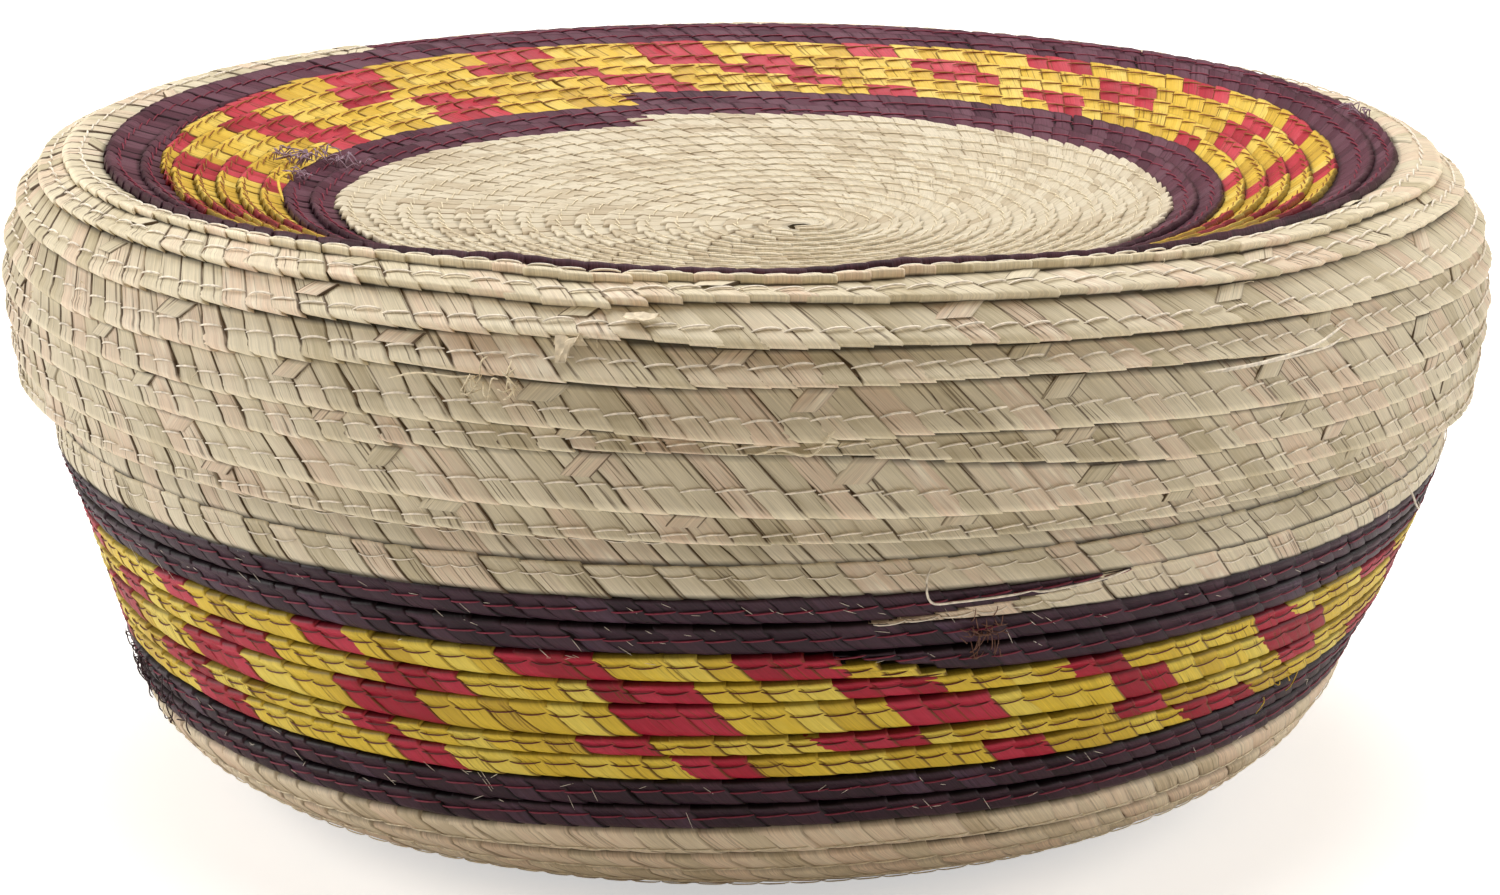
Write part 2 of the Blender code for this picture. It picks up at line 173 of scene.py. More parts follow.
class Wall:
    """A wound wall: its outline from the middle outwards and the spiral of its rows."""

    def __init__(self, body, points, outer_side, thickness, spiral, waves, *drifts):
        self.body = body
        self.outer_side = outer_side
        self.thickness = thickness
        self.spiral = spiral
        self.waves = waves
        self.drifts = drifts
        self.set_outline(np.array(points))
        even = np.linspace(0.0, self.length, OUTLINE_POINTS)
        points = self.outline_at(even)
        reach = round(CORNER_ROUNDING / even[1])
        near = [min(reach, i, OUTLINE_POINTS - 1 - i) for i in range(OUTLINE_POINTS)]
        self.set_outline(np.array([points[i - n:i + n + 1].mean(axis=0)
                                   for i, n in enumerate(near)]))

    def set_outline(self, points):
        self.points = points
        self.lengths = np.concatenate([[0.0], np.cumsum(np.hypot(*np.diff(points, axis=0).T))])
        self.length = self.lengths[-1]

    def outline_at(self, along):
        """The outline's radius and height at lengths along it."""
        return np.column_stack([np.interp(along, self.lengths, self.points[:, i])
                                for i in (0, 1)])

    def along(self, turn):
        """How far along the outline the spiral is at this turn."""
        turn = np.asarray(turn, dtype=float)
        row = np.round(turn)
        angle = (turn - row) * 360
        along = by_place(self.spiral, turn)
        for number, wave in self.waves.items():
            along = along + np.where(row == number, by_place(wave, angle), 0.0)
        for drift, share in self.drifts:
            along = along + by_place(drift, angle) * by_place(share, turn)
        return np.clip(along * MM, 0.0, self.length)

    def place(self, turn, along, height):
        """Points of space for places on the wall."""
        turn, along, height = np.broadcast_arrays(*np.atleast_1d(turn, along, height))
        step = self.length / (OUTLINE_POINTS - 1)
        slope = self.outline_at(along + step) - self.outline_at(along - step)
        slope /= np.maximum(np.hypot(*slope.T), TINY)[:, None]
        height = height * self.outer_side
        r, z = self.outline_at(along).T
        r = r + height * slope[:, 1]
        z = z - height * slope[:, 0]
        angle = FULL_TURN * turn
        return np.column_stack([r * np.sin(angle), -r * np.cos(angle), z])

    def spot(self, angle, row, height):
        """A point of space for an angle from the front, a place in rows, and a height."""
        turn = angle / 360
        return self.place(turn, self.along(row + turn), height * MM)[0]


def by_place(value, place):
    """A value for each place, from one number or from a table of places and numbers."""
    if isinstance(value, dict):
        return np.interp(place, list(value), list(value.values()))
    return np.full(np.shape(place), float(value))


def turn_at(row, angle):
    """The turn of the spiral at an angle from the front in this row."""
    return row + angle / 360


def basket_wall():
    u = np.linspace(0, 1, CURVE_POINTS)
    floor = np.column_stack([FLOOR_RADIUS * u, 0 * u])
    # The foot rolls up to where it runs straight on to the shoulder
    out = (SHOULDER_RADIUS - FLOOR_RADIUS) / FOOT_ROLL_WIDTH
    up = SHOULDER_HEIGHT / FOOT_ROLL_HEIGHT - 1
    roll = u * (math.atan2(out, -up) - math.acos(1 / math.hypot(out, up)))
    foot = np.column_stack([FLOOR_RADIUS + FOOT_ROLL_WIDTH * np.sin(roll),
                            FOOT_ROLL_HEIGHT * (1 - np.cos(roll))])
    rim_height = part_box("basket_neck_braid")[1][2]
    neck = np.column_stack([SHOULDER_RADIUS - NECK_LEAN * u ** NECK_BEND,
                            SHOULDER_HEIGHT + (rim_height - SHOULDER_HEIGHT) * u])
    return Wall("basket", np.vstack([floor, foot[1:], neck]), 1, BASKET_WALL, BASKET_SPIRAL, {},
                (BASKET_DRIFT, BASKET_DRIFT_SHARE))


def lid_wall():
    u = np.linspace(0, 1, CURVE_POINTS)
    centre_height = WIDEST_HEIGHT + SHOULDER_RISE - DISH_DEPTH
    dish = np.column_stack([CREST_RADIUS * u, centre_height + DISH_DEPTH * u ** DISH_BEND])
    quarter = u * math.pi / 2
    shoulder = np.column_stack([CREST_RADIUS + (LID_RADIUS - CREST_RADIUS) * np.sin(quarter),
                                WIDEST_HEIGHT + SHOULDER_RISE * np.cos(quarter)])
    skirt = np.column_stack([LID_RADIUS - SKIRT_TUCK * u ** 2, WIDEST_HEIGHT - SKIRT_DROP * u])
    return Wall("lid", np.vstack([dish, shoulder[1:], skirt[1:]]), -1, LID_WALL, LID_SPIRAL,
                LID_WAVES, (LID_DRIFT, LID_DRIFT_SHARE), (RING_DRIFT, RING_DRIFT_SHARE))


class Field:
    """A number in a node tree, so that a formula for it reads as one."""

    def __init__(self, nodes, socket):
        self.nodes = nodes
        self.socket = socket

    def __add__(self, other):
        return self.nodes.math("ADD", self, other)

    def __sub__(self, other):
        return self.nodes.math("SUBTRACT", self, other)

    def __rsub__(self, other):
        return self.nodes.math("SUBTRACT", other, self)

    def __mul__(self, other):
        return self.nodes.math("MULTIPLY", self, other)

    def __truediv__(self, other):
        return self.nodes.math("DIVIDE", self, other)

    def __pow__(self, other):
        return self.nodes.math("POWER", self, other)

    __radd__ = __add__
    __rmul__ = __mul__


class Nodes:
    """A node tree being built, with short calls for what these trees need."""

    def __init__(self, tree):
        self.tree = tree

    @classmethod
    def group(cls, name, kind):
        self = cls(bpy.data.node_groups.new(name, kind))
        self.entry = self.tree.nodes.new("NodeGroupInput")
        self.exit = self.tree.nodes.new("NodeGroupOutput")
        return self

    def input(self, name, kind="Float"):
        self.tree.interface.new_socket(name, in_out="INPUT", socket_type="NodeSocket" + kind)
        return self.wrap(self.entry.outputs[name])

    def output(self, name, value, kind="Float"):
        self.tree.interface.new_socket(name, in_out="OUTPUT", socket_type="NodeSocket" + kind)
        self.feed(self.exit.inputs[name], value)

    def wrap(self, socket):
        return Field(self, socket)

    def feed(self, socket, value):
        if isinstance(value, Field):
            self.tree.links.new(value.socket, socket)
        else:
            socket.default_value = value

    def add(self, kind, values=None, out=0, **settings):
        """A new node with these settings and inputs. Gives back one of its outputs."""
        node = self.tree.nodes.new(kind)
        for name, value in settings.items():
            setattr(node, name, value)
        for key, value in (values or {}).items():
            self.feed(node.inputs[key], value)
        return self.wrap(node.outputs[out]) if len(node.outputs) else None

    def math(self, operation, *values):
        return self.add("ShaderNodeMath", dict(enumerate(values)), operation=operation)

    def ranged(self, value, from_min, from_max, to_min=0.0, to_max=1.0):
        return self.add("ShaderNodeMapRange", {"Value": value, "From Min": from_min,
                                               "From Max": from_max, "To Min": to_min,
                                               "To Max": to_max})

    def split(self, vector):
        node = self.add("ShaderNodeSeparateXYZ", {0: vector}).socket.node
        return [self.wrap(socket) for socket in node.outputs]

    def join(self, x, y, z):
        return self.add("ShaderNodeCombineXYZ", {0: x, 1: y, 2: z})

    def place(self, tree, values):
        """A node group set into this tree. Gives back its outputs."""
        node = self.tree.nodes.new(tree.bl_idname.replace("Tree", "Group"))
        node.node_tree = tree
        for key, value in values.items():
            self.feed(node.inputs[key], value)
        return [self.wrap(socket) for socket in node.outputs]

    def number(self, name):
        return self.add("GeometryNodeInputNamedAttribute", {0: name}, data_type="FLOAT")

    def keep(self, geometry, name, value, data_type="FLOAT"):
        return self.add("GeometryNodeStoreNamedAttribute",
                        {"Geometry": geometry, "Name": name, "Value": value},
                        data_type=data_type, domain="POINT")

    def random(self, seed):
        """A number from 0 to 1 for each point. Two of the node's inputs have the name Min."""
        return self.add("FunctionNodeRandomValue", {2: 0.0, 3: 1.0, 8: seed}, out=1,
                        data_type="FLOAT")

    def wander(self, place, detail):
        """A number from about -0.5 to 0.5 that changes slowly with the place."""
        noise = self.add("ShaderNodeTexNoise", {"W": place, "Scale": 1.0, "Detail": detail},
                         noise_dimensions="1D")
        return noise - 0.5


def winding_tree():
    """Turns a place on a wound wall into a point of space."""
    nodes = Nodes.group("wind on outline", "GeometryNodeTree")
    outline = nodes.input("Outline", "Geometry")
    turn = nodes.input("Turn")
    along = nodes.input("Along")
    height = nodes.input("Height")
    outer_side = nodes.input("Outer Side")
    sample = nodes.add("GeometryNodeSampleCurve", {"Curves": outline, "Length": along},
                       out="Position", mode="LENGTH")
    run, _, rise = nodes.split(nodes.wrap(sample.socket.node.outputs["Tangent"]))
    r, _, z = nodes.split(sample)
    r = r + height * outer_side * rise
    z = z - height * outer_side * run
    angle = turn * FULL_TURN
    nodes.output("Place", nodes.join(r * nodes.math("SINE", angle),
                                     r * nodes.math("COSINE", angle) * -1.0, z), "Vector")
    return nodes.tree


# The sizes that each tree is given for a strip
PLAIT_SIZES = ("Pitch", "Width", "Spread", "Slant", "Crown", "Tilt", "Depth", "Sink", "Wave",
               "Tooth", "Open")
SEWING_SIZES = ("Pitch", "Spread", "Slant", "Tilt", "Depth", "Wave", "Sag")

# How slivers differ: they are wider than their pitch and lie a little off it, a slit gapes
# near the thread only, and the free edge waves and swells so many times in a turn. At the
# axis a shape is turned as at the smallest radius.
SMALLEST_RADIUS = 0.8 * MM
SLIVER_OVERLAP = 1.07
SLIVER_SHIFT = 0.25
SLIT_REACH = 2.4 * MM
EDGE_WAVES = 17.0
EDGE_SWELLS = 29.0
SWELL_SEED = 40.0
SWELL_SHARE = 0.35
LEAN_LOST_AT_EDGE = 0.7

# How stitches differ: how far off their pitch and across the row, and their least sag
STITCH_SHIFT = 0.3
STITCH_SCATTER = 0.25 * MM
STITCH_WAVES = 33.0
LEAST_SAG = 0.4


def repeating_tree(name, winding, sizes, shape_place):
    """A tree that repeats a small shape along a lay line and winds it onto the wall.

    shape_place is given the nodes, the inputs and the shape's own coordinates, and gives
    back how far the point is round from the lay line, its length along the outline, its
    height and the values to keep for the material.
    """
    nodes = Nodes.group(name, "GeometryNodeTree")
    inputs = {"Geometry": nodes.input("Geometry", "Geometry")}
    for label, kind in (("Outline", "Object"), ("Shape", "Object"), ("Finish", "Material"),
                        ("Outer Side", "Float"), ("Seed", "Int")):
        inputs[label] = nodes.input(label, kind)
    for label in sizes:
        inputs[label] = nodes.input(label)
    outline = nodes.add("GeometryNodeObjectInfo", {"Object": inputs["Outline"]}, out="Geometry")
    outline = nodes.add("GeometryNodeMeshToCurve", {0: outline})
    shape = nodes.add("GeometryNodeObjectInfo", {"Object": inputs["Shape"]}, out="Geometry")
    shape = nodes.keep(shape, "shape", nodes.add("GeometryNodeInputPosition"), "FLOAT_VECTOR")
    line = nodes.add("GeometryNodeMeshToCurve", {0: inputs["Geometry"]})
    points = nodes.add("GeometryNodeCurveToPoints", {"Curve": line, "Length": inputs["Pitch"]},
                       mode="LENGTH")
    for step, label in enumerate(("tone", "width", "shift", "lift")):
        points = nodes.keep(points, label, nodes.random(inputs["Seed"] + step))
    copies = nodes.add("GeometryNodeInstanceOnPoints", {"Points": points, "Instance": shape})
    whole = nodes.add("GeometryNodeRealizeInstances", {0: copies})
    own = nodes.split(nodes.add("GeometryNodeInputNamedAttribute", {0: "shape"},
                                data_type="FLOAT_VECTOR"))
    around, along, height, kept = shape_place(nodes, inputs, own)
    turn = nodes.number("turn")
    sample = nodes.add("GeometryNodeSampleCurve", {"Curves": outline, "Length": along},
                       out="Position", mode="LENGTH")
    radius = nodes.math("MAXIMUM", nodes.split(sample)[0], SMALLEST_RADIUS)
    shifted = turn + around / (radius * FULL_TURN)
    along = along + (shifted - turn) * (nodes.number("far") - nodes.number("near"))
    place, = nodes.place(winding, {"Outline": outline, "Turn": shifted, "Along": along,
                                   "Height": height, "Outer Side": inputs["Outer Side"]})
    for label, (value, data_type) in kept.items():
        whole = nodes.keep(whole, label, value, data_type)
    whole = nodes.add("GeometryNodeSetPosition", {"Geometry": whole, "Position": place})
    mirrored = nodes.math("LESS_THAN", inputs["Outer Side"], 0.0)
    flipped = nodes.add("GeometryNodeFlipFaces", {0: whole})
    whole = nodes.add("GeometryNodeSwitch", {0: mirrored, 1: whole, 2: flipped},
                      input_type="GEOMETRY")
    whole = nodes.add("GeometryNodeSetShadeSmooth", {0: whole})
    whole = nodes.add("GeometryNodeSetMaterial", {"Geometry": whole, "Material": inputs["Finish"]})
    nodes.output("Geometry", whole, "Geometry")
    return nodes.tree


def sliver_place(nodes, inputs, own):
    """A sliver's own coordinates are shares: beside it, across the row, and of the rise."""
    beside, across, lift = own
    seed, slant, spread, wave = (inputs[name] for name in ("Seed", "Slant", "Spread", "Wave"))
    near, far, turn, wider, aside, raised = (
        nodes.number(name) for name in ("near", "far", "turn", "width", "shift", "lift"))
    breadth = far - near
    free = nodes.math("MAXIMUM", across - 0.5, 0.0) / 0.5

    width = inputs["Width"] * (SLIVER_OVERLAP + spread * (wider ** 3.0))
    from_thread = nodes.math("ABSOLUTE", across - nodes.number("thread")) * breadth / SLIT_REACH
    slit = nodes.math("MAXIMUM", 1.0 - from_thread, 0.0)
    slit = slit * nodes.math("MAXIMUM", aside - 1.0 + inputs["Open"], 0.0) / inputs["Open"]
    side = beside * width * (1.0 - slit * nodes.number("pinch"))
    around = side + (across - 0.5) * breadth * slant
    around = around + (aside - 0.5) * inputs["Pitch"] * spread * SLIVER_SHIFT

    edge_wave = nodes.wander(turn * EDGE_WAVES + seed, detail=3.0)
    along = near + across * breadth + edge_wave * wave * free
    along = along + (beside + (raised - 0.5)) * inputs["Tooth"] * free ** 3.0

    height = inputs["Depth"] - inputs["Sink"] * nodes.number("sink") + lift * nodes.number("rise")
    round_over = 1.0 - nodes.math("ABSOLUTE", beside * 2.0) ** 4.0
    lean = inputs["Tilt"] * (1.0 - LEAN_LOST_AT_EDGE * free ** 2.0)
    height = height + round_over * inputs["Crown"] + beside * lean
    height = height + (raised - 0.5) * lean
    swell = nodes.wander(turn * EDGE_SWELLS + seed + SWELL_SEED, detail=2.0)
    height = height + swell * wave * SWELL_SHARE * free

    down = (across - 0.5) * breadth * nodes.math("SQRT", slant * slant + 1.0)
    fibre = nodes.join(side, down, nodes.number("tone"))
    leaf = nodes.join(beside, across, raised)
    return around, along, height, {"fibre": (fibre, "FLOAT_VECTOR"),
                                   "leaf": (leaf, "FLOAT_VECTOR"), "stand": (lift, "FLOAT")}


def stitch_place(nodes, inputs, own):
    """A stitch's own coordinates are metres: along the row, across it, and up."""
    forward, across, lift = own
    near, far, turn, thread = (nodes.number(name) for name in ("near", "far", "turn", "thread"))
    breadth = far - near
    around = forward + (thread - 0.5) * breadth * inputs["Slant"]
    shift = nodes.number("shift") - 0.5
    around = around + shift * inputs["Pitch"] * inputs["Spread"] * STITCH_SHIFT
    wave = nodes.wander(turn * STITCH_WAVES + inputs["Seed"], detail=3.0)
    along = near + thread * breadth + across + forward * inputs["Tilt"]
    along = along + wave * inputs["Wave"] + (nodes.number("lift") - 0.5) * STITCH_SCATTER
    share = forward / inputs["Pitch"] * 2.0
    along = along + (1.0 - share * share) * inputs["Sag"] * (nodes.number("width") + LEAST_SAG)
    height = inputs["Depth"] + lift + nodes.number("seat")
    return around, along, height, {}


def mesh_object(name, vertices, faces=(), edges=()):
    mesh = bpy.data.meshes.new(name)
    mesh.from_pydata([tuple(v) for v in vertices], [tuple(e) for e in edges],
                     [tuple(f) for f in faces])
    thing = bpy.data.objects.new(name, mesh)
    bpy.context.scene.collection.objects.link(thing)
    return thing


def chain(name, vertices):
    return mesh_object(name, vertices, edges=[(i, i + 1) for i in range(len(vertices) - 1)])


def grow(lay, tree, values):
    """Run a tree on a lay line and give back the plain mesh that it makes."""
    modifier = lay.modifiers.new("grow", "NODES")
    modifier.node_group = tree
    for item in tree.interface.items_tree:
        if item.item_type == "SOCKET" and item.in_out == "INPUT" and item.name in values:
            modifier[item.identifier] = values[item.name]
    lay.update_tag()
    bpy.context.view_layer.update()
    depsgraph = bpy.context.evaluated_depsgraph_get()
    mesh = bpy.data.meshes.new_from_object(lay.evaluated_get(depsgraph), depsgraph=depsgraph)
    lay.modifiers.remove(modifier)
    return mesh


# Each row's section from its tucked edge to its free edge: how far across the row, and
# how high, both as shares. A lapped row lies flat and ends in a thick lip, a bead is
# rounded, a grooved row is parted from the next by a deep groove, and a hanging row also
# laps over the row below it. A crossing sliver lies under the tucked half of the others,
# and inside the wall the rows are plain.
LAPPED = ((-0.16, -0.10), (0.05, 0.0), (0.25, 0.12), (0.45, 0.30), (0.60, 0.44), (0.70, 0.56),
          (0.82, 0.86), (0.93, 1.0), (0.99, 0.90), (1.0, 0.45), (0.96, -0.60))
BEAD = ((-0.10, -0.30), (0.00, 0.02), (0.06, 0.45), (0.16, 0.80), (0.32, 0.97), (0.52, 0.93),
        (0.66, 0.80), (0.78, 0.92), (0.90, 1.06), (0.98, 0.84), (1.0, 0.35), (0.96, -0.55))
GROOVED = ((-0.06, -0.35), (0.0, -0.25), (0.05, 0.15), (0.14, 0.62), (0.32, 0.95), (0.60, 1.0),
           (0.84, 1.0), (0.92, 0.78), (0.97, 0.15), (1.0, -0.35))
HANGING = ((-0.08, 0.10), (-0.10, 0.45), (-0.05, 0.80), (0.12, 1.0), (0.35, 1.05), (0.60, 0.95),
           (0.78, 0.92), (0.90, 1.0), (0.99, 0.80), (1.0, 0.30), (0.96, -0.50))
CROSSING = ((0.04, 0.06), (0.16, 0.14), (0.30, 0.24), (0.44, 0.34))
INSIDE = ((-0.06, -0.20), (0.12, 0.50), (0.45, 0.80), (0.80, 0.70), (1.04, 0.0))

# A sliver's columns of points, as shares of its width. The outermost two go down to a foot.
COLUMNS = (-0.5, -0.5, -0.44, 0.0, 0.44, 0.5, 0.5)
SIDE_WALL_FOOT = -0.3

# Each kind of stitch by its length, thickness and arch, in millimetres. Then, as shares, how
# much stitches thin out and dip at their ends, and how much loose fibres thin out.
STITCHES = {"broad": (5.0, 0.40, 0.26), "fine": (5.2, 0.32, 0.24), "thin": (5.4, 0.27, 0.22),
            "hair": (5.2, 0.26, 0.20)}
STITCH_TAPER = 0.4
STITCH_DIP = 0.4
FIBRE_TAPER = 0.6


def tube_faces(rings, sides):
    """The faces of a closed tube whose rings run anticlockwise seen from its far end."""
    faces = [tuple(range(sides))[::-1], tuple((rings - 1) * sides + j for j in range(sides))]
    for i in range(rings - 1):
        for j in range(sides):
            k = (j + 1) % sides
            faces.append((i * sides + j, i * sides + k, (i + 1) * sides + k, (i + 1) * sides + j))
    return faces


def sliver_shape(name, section):
    """A sliver with a section, its sides closed by walls that go down to the layer below."""
    n = len(COLUMNS)
    vertices = [(x, a, min(h, SIDE_WALL_FOOT) if i in (0, n - 1) else h)
                for a, h in section for i, x in enumerate(COLUMNS)]
    faces = [(j * n + i, j * n + i + 1, (j + 1) * n + i + 1, (j + 1) * n + i)
             for j in range(len(section) - 1) for i in range(n - 1)]
    return mesh_object(name, vertices, faces)


def stitch_shape(name, length, thickness, arch):
    """A short arched dash of thread whose ends dip into the needle holes."""
    vertices = []
    for u in np.linspace(-1, 1, STITCH_LENGTHS + 1):
        size = thickness / 2 * (1 - STITCH_TAPER * u ** 4)
        for j in range(THREAD_SIDES):
            angle = FULL_TURN * j / THREAD_SIDES
            vertices.append((u * length / 2, size * math.cos(angle),
                             arch * (1 - u ** 4) - arch * STITCH_DIP + size * math.sin(angle)))
    return mesh_object(name, vertices, tube_faces(STITCH_LENGTHS + 1, THREAD_SIDES))


# The grain of palm leaf: how many streaks, blotches and splits there are in a metre, beside
# a sliver, along it, and from one sliver to the next
STREAKS = (3600.0, 90.0, 90.0)
BLOTCHES = (700.0, 130.0, 50.0)
SPLITS = (1500.0, 40.0, 31.0)

# Where each effect starts on a sliver and where it is full: painted slit shade at an edge beside
# its middle, its lip and the painted shade of its tuck across the row, the painted shade of its
# underside by height, and splits by their noise
SLIT_SHADE_BAND = (0.83, 0.93)
LIP_BAND = (0.84, 0.97)
TUCK_SHADE_BAND = (0.14, 0.0)
UNDER_SHADE_BAND = (0.18, -0.12)
SPLIT_BAND = (0.63, 0.68)

# How the grain is used: the share of a sliver's own tone in its colour, the streaks that are
# darkest and lightest, how much of an edge line of painted slit shade shows on a low and on a
# raised sliver and by its blotches, how much a split shows, how steeply the painted shade of a
# groove darkens to its bottom, how much a streak changes the roughness, and the relief with its
# strength and its depth
TONE_SHARE = 0.65
STREAK_BAND = (0.3, 0.75)
LINE_BY_LIFT = (0.22, 0.55, 0.15, 1.0)
LINE_BY_BLOTCH = (0.38, 0.50, 0.45, 1.0)
SPLIT_SHARE = 0.7
GROOVE_SHADE_POWER = 4.0
SMOOTHER = 0.12
ROUGHER = 0.15
BLOTCH_RELIEF = 0.6
SPLIT_RELIEF = 0.8
GRAIN_RELIEF = (0.4, 0.15 * MM)

# Thread, fibres and hidden palm are of one colour with fine spots in it
SPOTS = 900.0
SPOT_BAND = (0.3, 0.7)
SPOT_CONTRAST = 0.25
SPOT_RELIEF = (0.3, 0.05 * MM)


def palm_grain():
    """The grain of a sliver of palm leaf: fine streaks along it, and masks for painted shade at its
    edges, in its tuck and under its lip.
    """
    nodes = Nodes.group("palm grain", "ShaderNodeTree")
    fibre = nodes.add("ShaderNodeAttribute", out="Vector", attribute_name="fibre")
    leaf = nodes.add("ShaderNodeAttribute", out="Vector", attribute_name="leaf")
    height = nodes.add("ShaderNodeAttribute", out="Fac", attribute_name="stand")
    own = nodes.split(fibre)
    beside, across, lift = nodes.split(leaf)

    def noise(scales, detail, roughness=0.5):
        place = nodes.join(*(number * scale for number, scale in zip(own, scales)))
        return nodes.add("ShaderNodeTexNoise", {"Vector": place, "Scale": 1.0,
                                                "Detail": detail, "Roughness": roughness})

    lip = nodes.ranged(across, *LIP_BAND)
    under = nodes.ranged(height, *UNDER_SHADE_BAND)
    nodes.output("Streak", noise(STREAKS, 3.0, 0.6))
    nodes.output("Blotch", noise(BLOTCHES, 3.0))
    nodes.output("Split", nodes.ranged(noise(SPLITS, 1.0), *SPLIT_BAND))
    # Painted shade of the slits along a sliver's sides
    nodes.output("Edge", nodes.ranged(nodes.math("ABSOLUTE", beside * 2.0), *SLIT_SHADE_BAND))
    nodes.output("Lip", lip)
    nodes.output("Tone", own[2])
    nodes.output("Lift", lift)
    # Painted shade in the tucked edge of a row and on the underside of a lip
    nodes.output("Crease", nodes.math("MAXIMUM", nodes.ranged(across, *TUCK_SHADE_BAND), under * lip))
    return nodes.tree


def ramp(nodes, value, stops):
    node = nodes.add("ShaderNodeValToRGB", {0: value}).socket.node
    elements = node.color_ramp.elements
    while len(elements) < len(stops):
        elements.new(0.5)
    for element, (place, colour) in zip(elements, stops):
        element.position = place
        element.color = (*colour, 1.0)
    return nodes.wrap(node.outputs[0])


def mix(nodes, share, first, second):
    """A blend of two colours. The node's colours are its inputs 6 and 7 and its output 2."""
    return nodes.add("ShaderNodeMix", {0: share, 6: first, 7: second}, out=2, data_type="RGBA")


def shaded(nodes, colour, shade):
    return nodes.add("ShaderNodeVectorMath", {0: colour, "Scale": shade}, operation="SCALE")


def bumped(nodes, shader, height, strength, distance):
    nodes.feed(shader.inputs["Normal"], nodes.add(
        "ShaderNodeBump", {"Strength": strength, "Distance": distance, "Height": height}))


def new_material(name):
    material = bpy.data.materials.new(name)
    material.use_nodes = True
    material.node_tree.nodes.clear()
    nodes = Nodes(material.node_tree)
    shader = nodes.add("ShaderNodeBsdfPrincipled").socket.node
    nodes.add("ShaderNodeOutputMaterial", {0: nodes.wrap(shader.outputs[0])})
    return material, nodes, shader


def palm_material(name, grain, tones, slit, slit_shade_and_split_share, roughness, shine=0.3, crease_shade_strength=0.85,
                  lip_shade=0.08, streaks=(0.84, 1.10), groove_shade=0.0, dyed=None):
    """Palm leaf: a colour for each sliver, its grain and splits, painted shade at its edges,
    creases and grooves, and a painted highlight or shade on its lips.
    """
    material, nodes, shader = new_material(name)
    streak, blotch, split, edge, lip, tone, lift, crease_shade_mask = nodes.place(grain, {})
    place = tone * TONE_SHARE + blotch * (1 - TONE_SHARE)
    colour = ramp(nodes, place, tones)
    if dyed:
        dye = nodes.add("ShaderNodeAttribute", out="Fac", attribute_name="dye")
        colour = mix(nodes, nodes.math("GREATER_THAN", dye, 0.5), colour, ramp(nodes, place, dyed))
    # Streaks are the real grain; the lip shade paints a highlight on the lips, or shade where it is
    # below 0
    shade = nodes.ranged(streak, *STREAK_BAND, *streaks) + lip * lip_shade
    # The crease and groove masks darken the colour as painted shade
    shade = shade * (1.0 - crease_shade_mask * crease_shade_strength) * (1.0 - lip ** GROOVE_SHADE_POWER * groove_shade)
    colour = shaded(nodes, colour, shade)
    # Edge lines are painted shade in the slits between slivers; with the real splits they mix
    # toward the slit colour, but not on the lip
    line = edge * nodes.ranged(lift, *LINE_BY_LIFT) * nodes.ranged(blotch, *LINE_BY_BLOTCH)
    slit_shade_and_splits = nodes.math("MAXIMUM", line, split * SPLIT_SHARE) * (1.0 - lip)
    colour = mix(nodes, slit_shade_and_splits * slit_shade_and_split_share, colour, (*slit, 1.0))
    nodes.feed(shader.inputs["Base Color"], colour)
    shader.inputs["Specular IOR Level"].default_value = shine
    nodes.feed(shader.inputs["Roughness"],
               nodes.ranged(streak, 0.0, 1.0, roughness - SMOOTHER, roughness + ROUGHER))
    relief = streak + blotch * BLOTCH_RELIEF - split * SPLIT_RELIEF
    bumped(nodes, shader, relief, *GRAIN_RELIEF)
    return material


def plain_material(name, colour, roughness):
    material, nodes, shader = new_material(name)
    spot = nodes.add("ShaderNodeTexCoord", out="Object")
    noise = nodes.add("ShaderNodeTexNoise", {"Vector": spot, "Scale": SPOTS, "Detail": 2.0})
    shade = nodes.ranged(noise, *SPOT_BAND, 1 - SPOT_CONTRAST, 1 + SPOT_CONTRAST)
    nodes.feed(shader.inputs["Base Color"], shaded(nodes, colour, shade))
    shader.inputs["Roughness"].default_value = roughness
    bumped(nodes, shader, noise, *SPOT_RELIEF)
    return material


CRIMSON = ((0.1, (0.28, 0.010, 0.025)), (0.5, (0.43, 0.014, 0.040)), (0.9, (0.54, 0.038, 0.078)))
FADED_CRIMSON = ((0.1, (0.33, 0.020, 0.036)), (0.5, (0.50, 0.036, 0.062)),
                 (0.9, (0.62, 0.078, 0.110)))
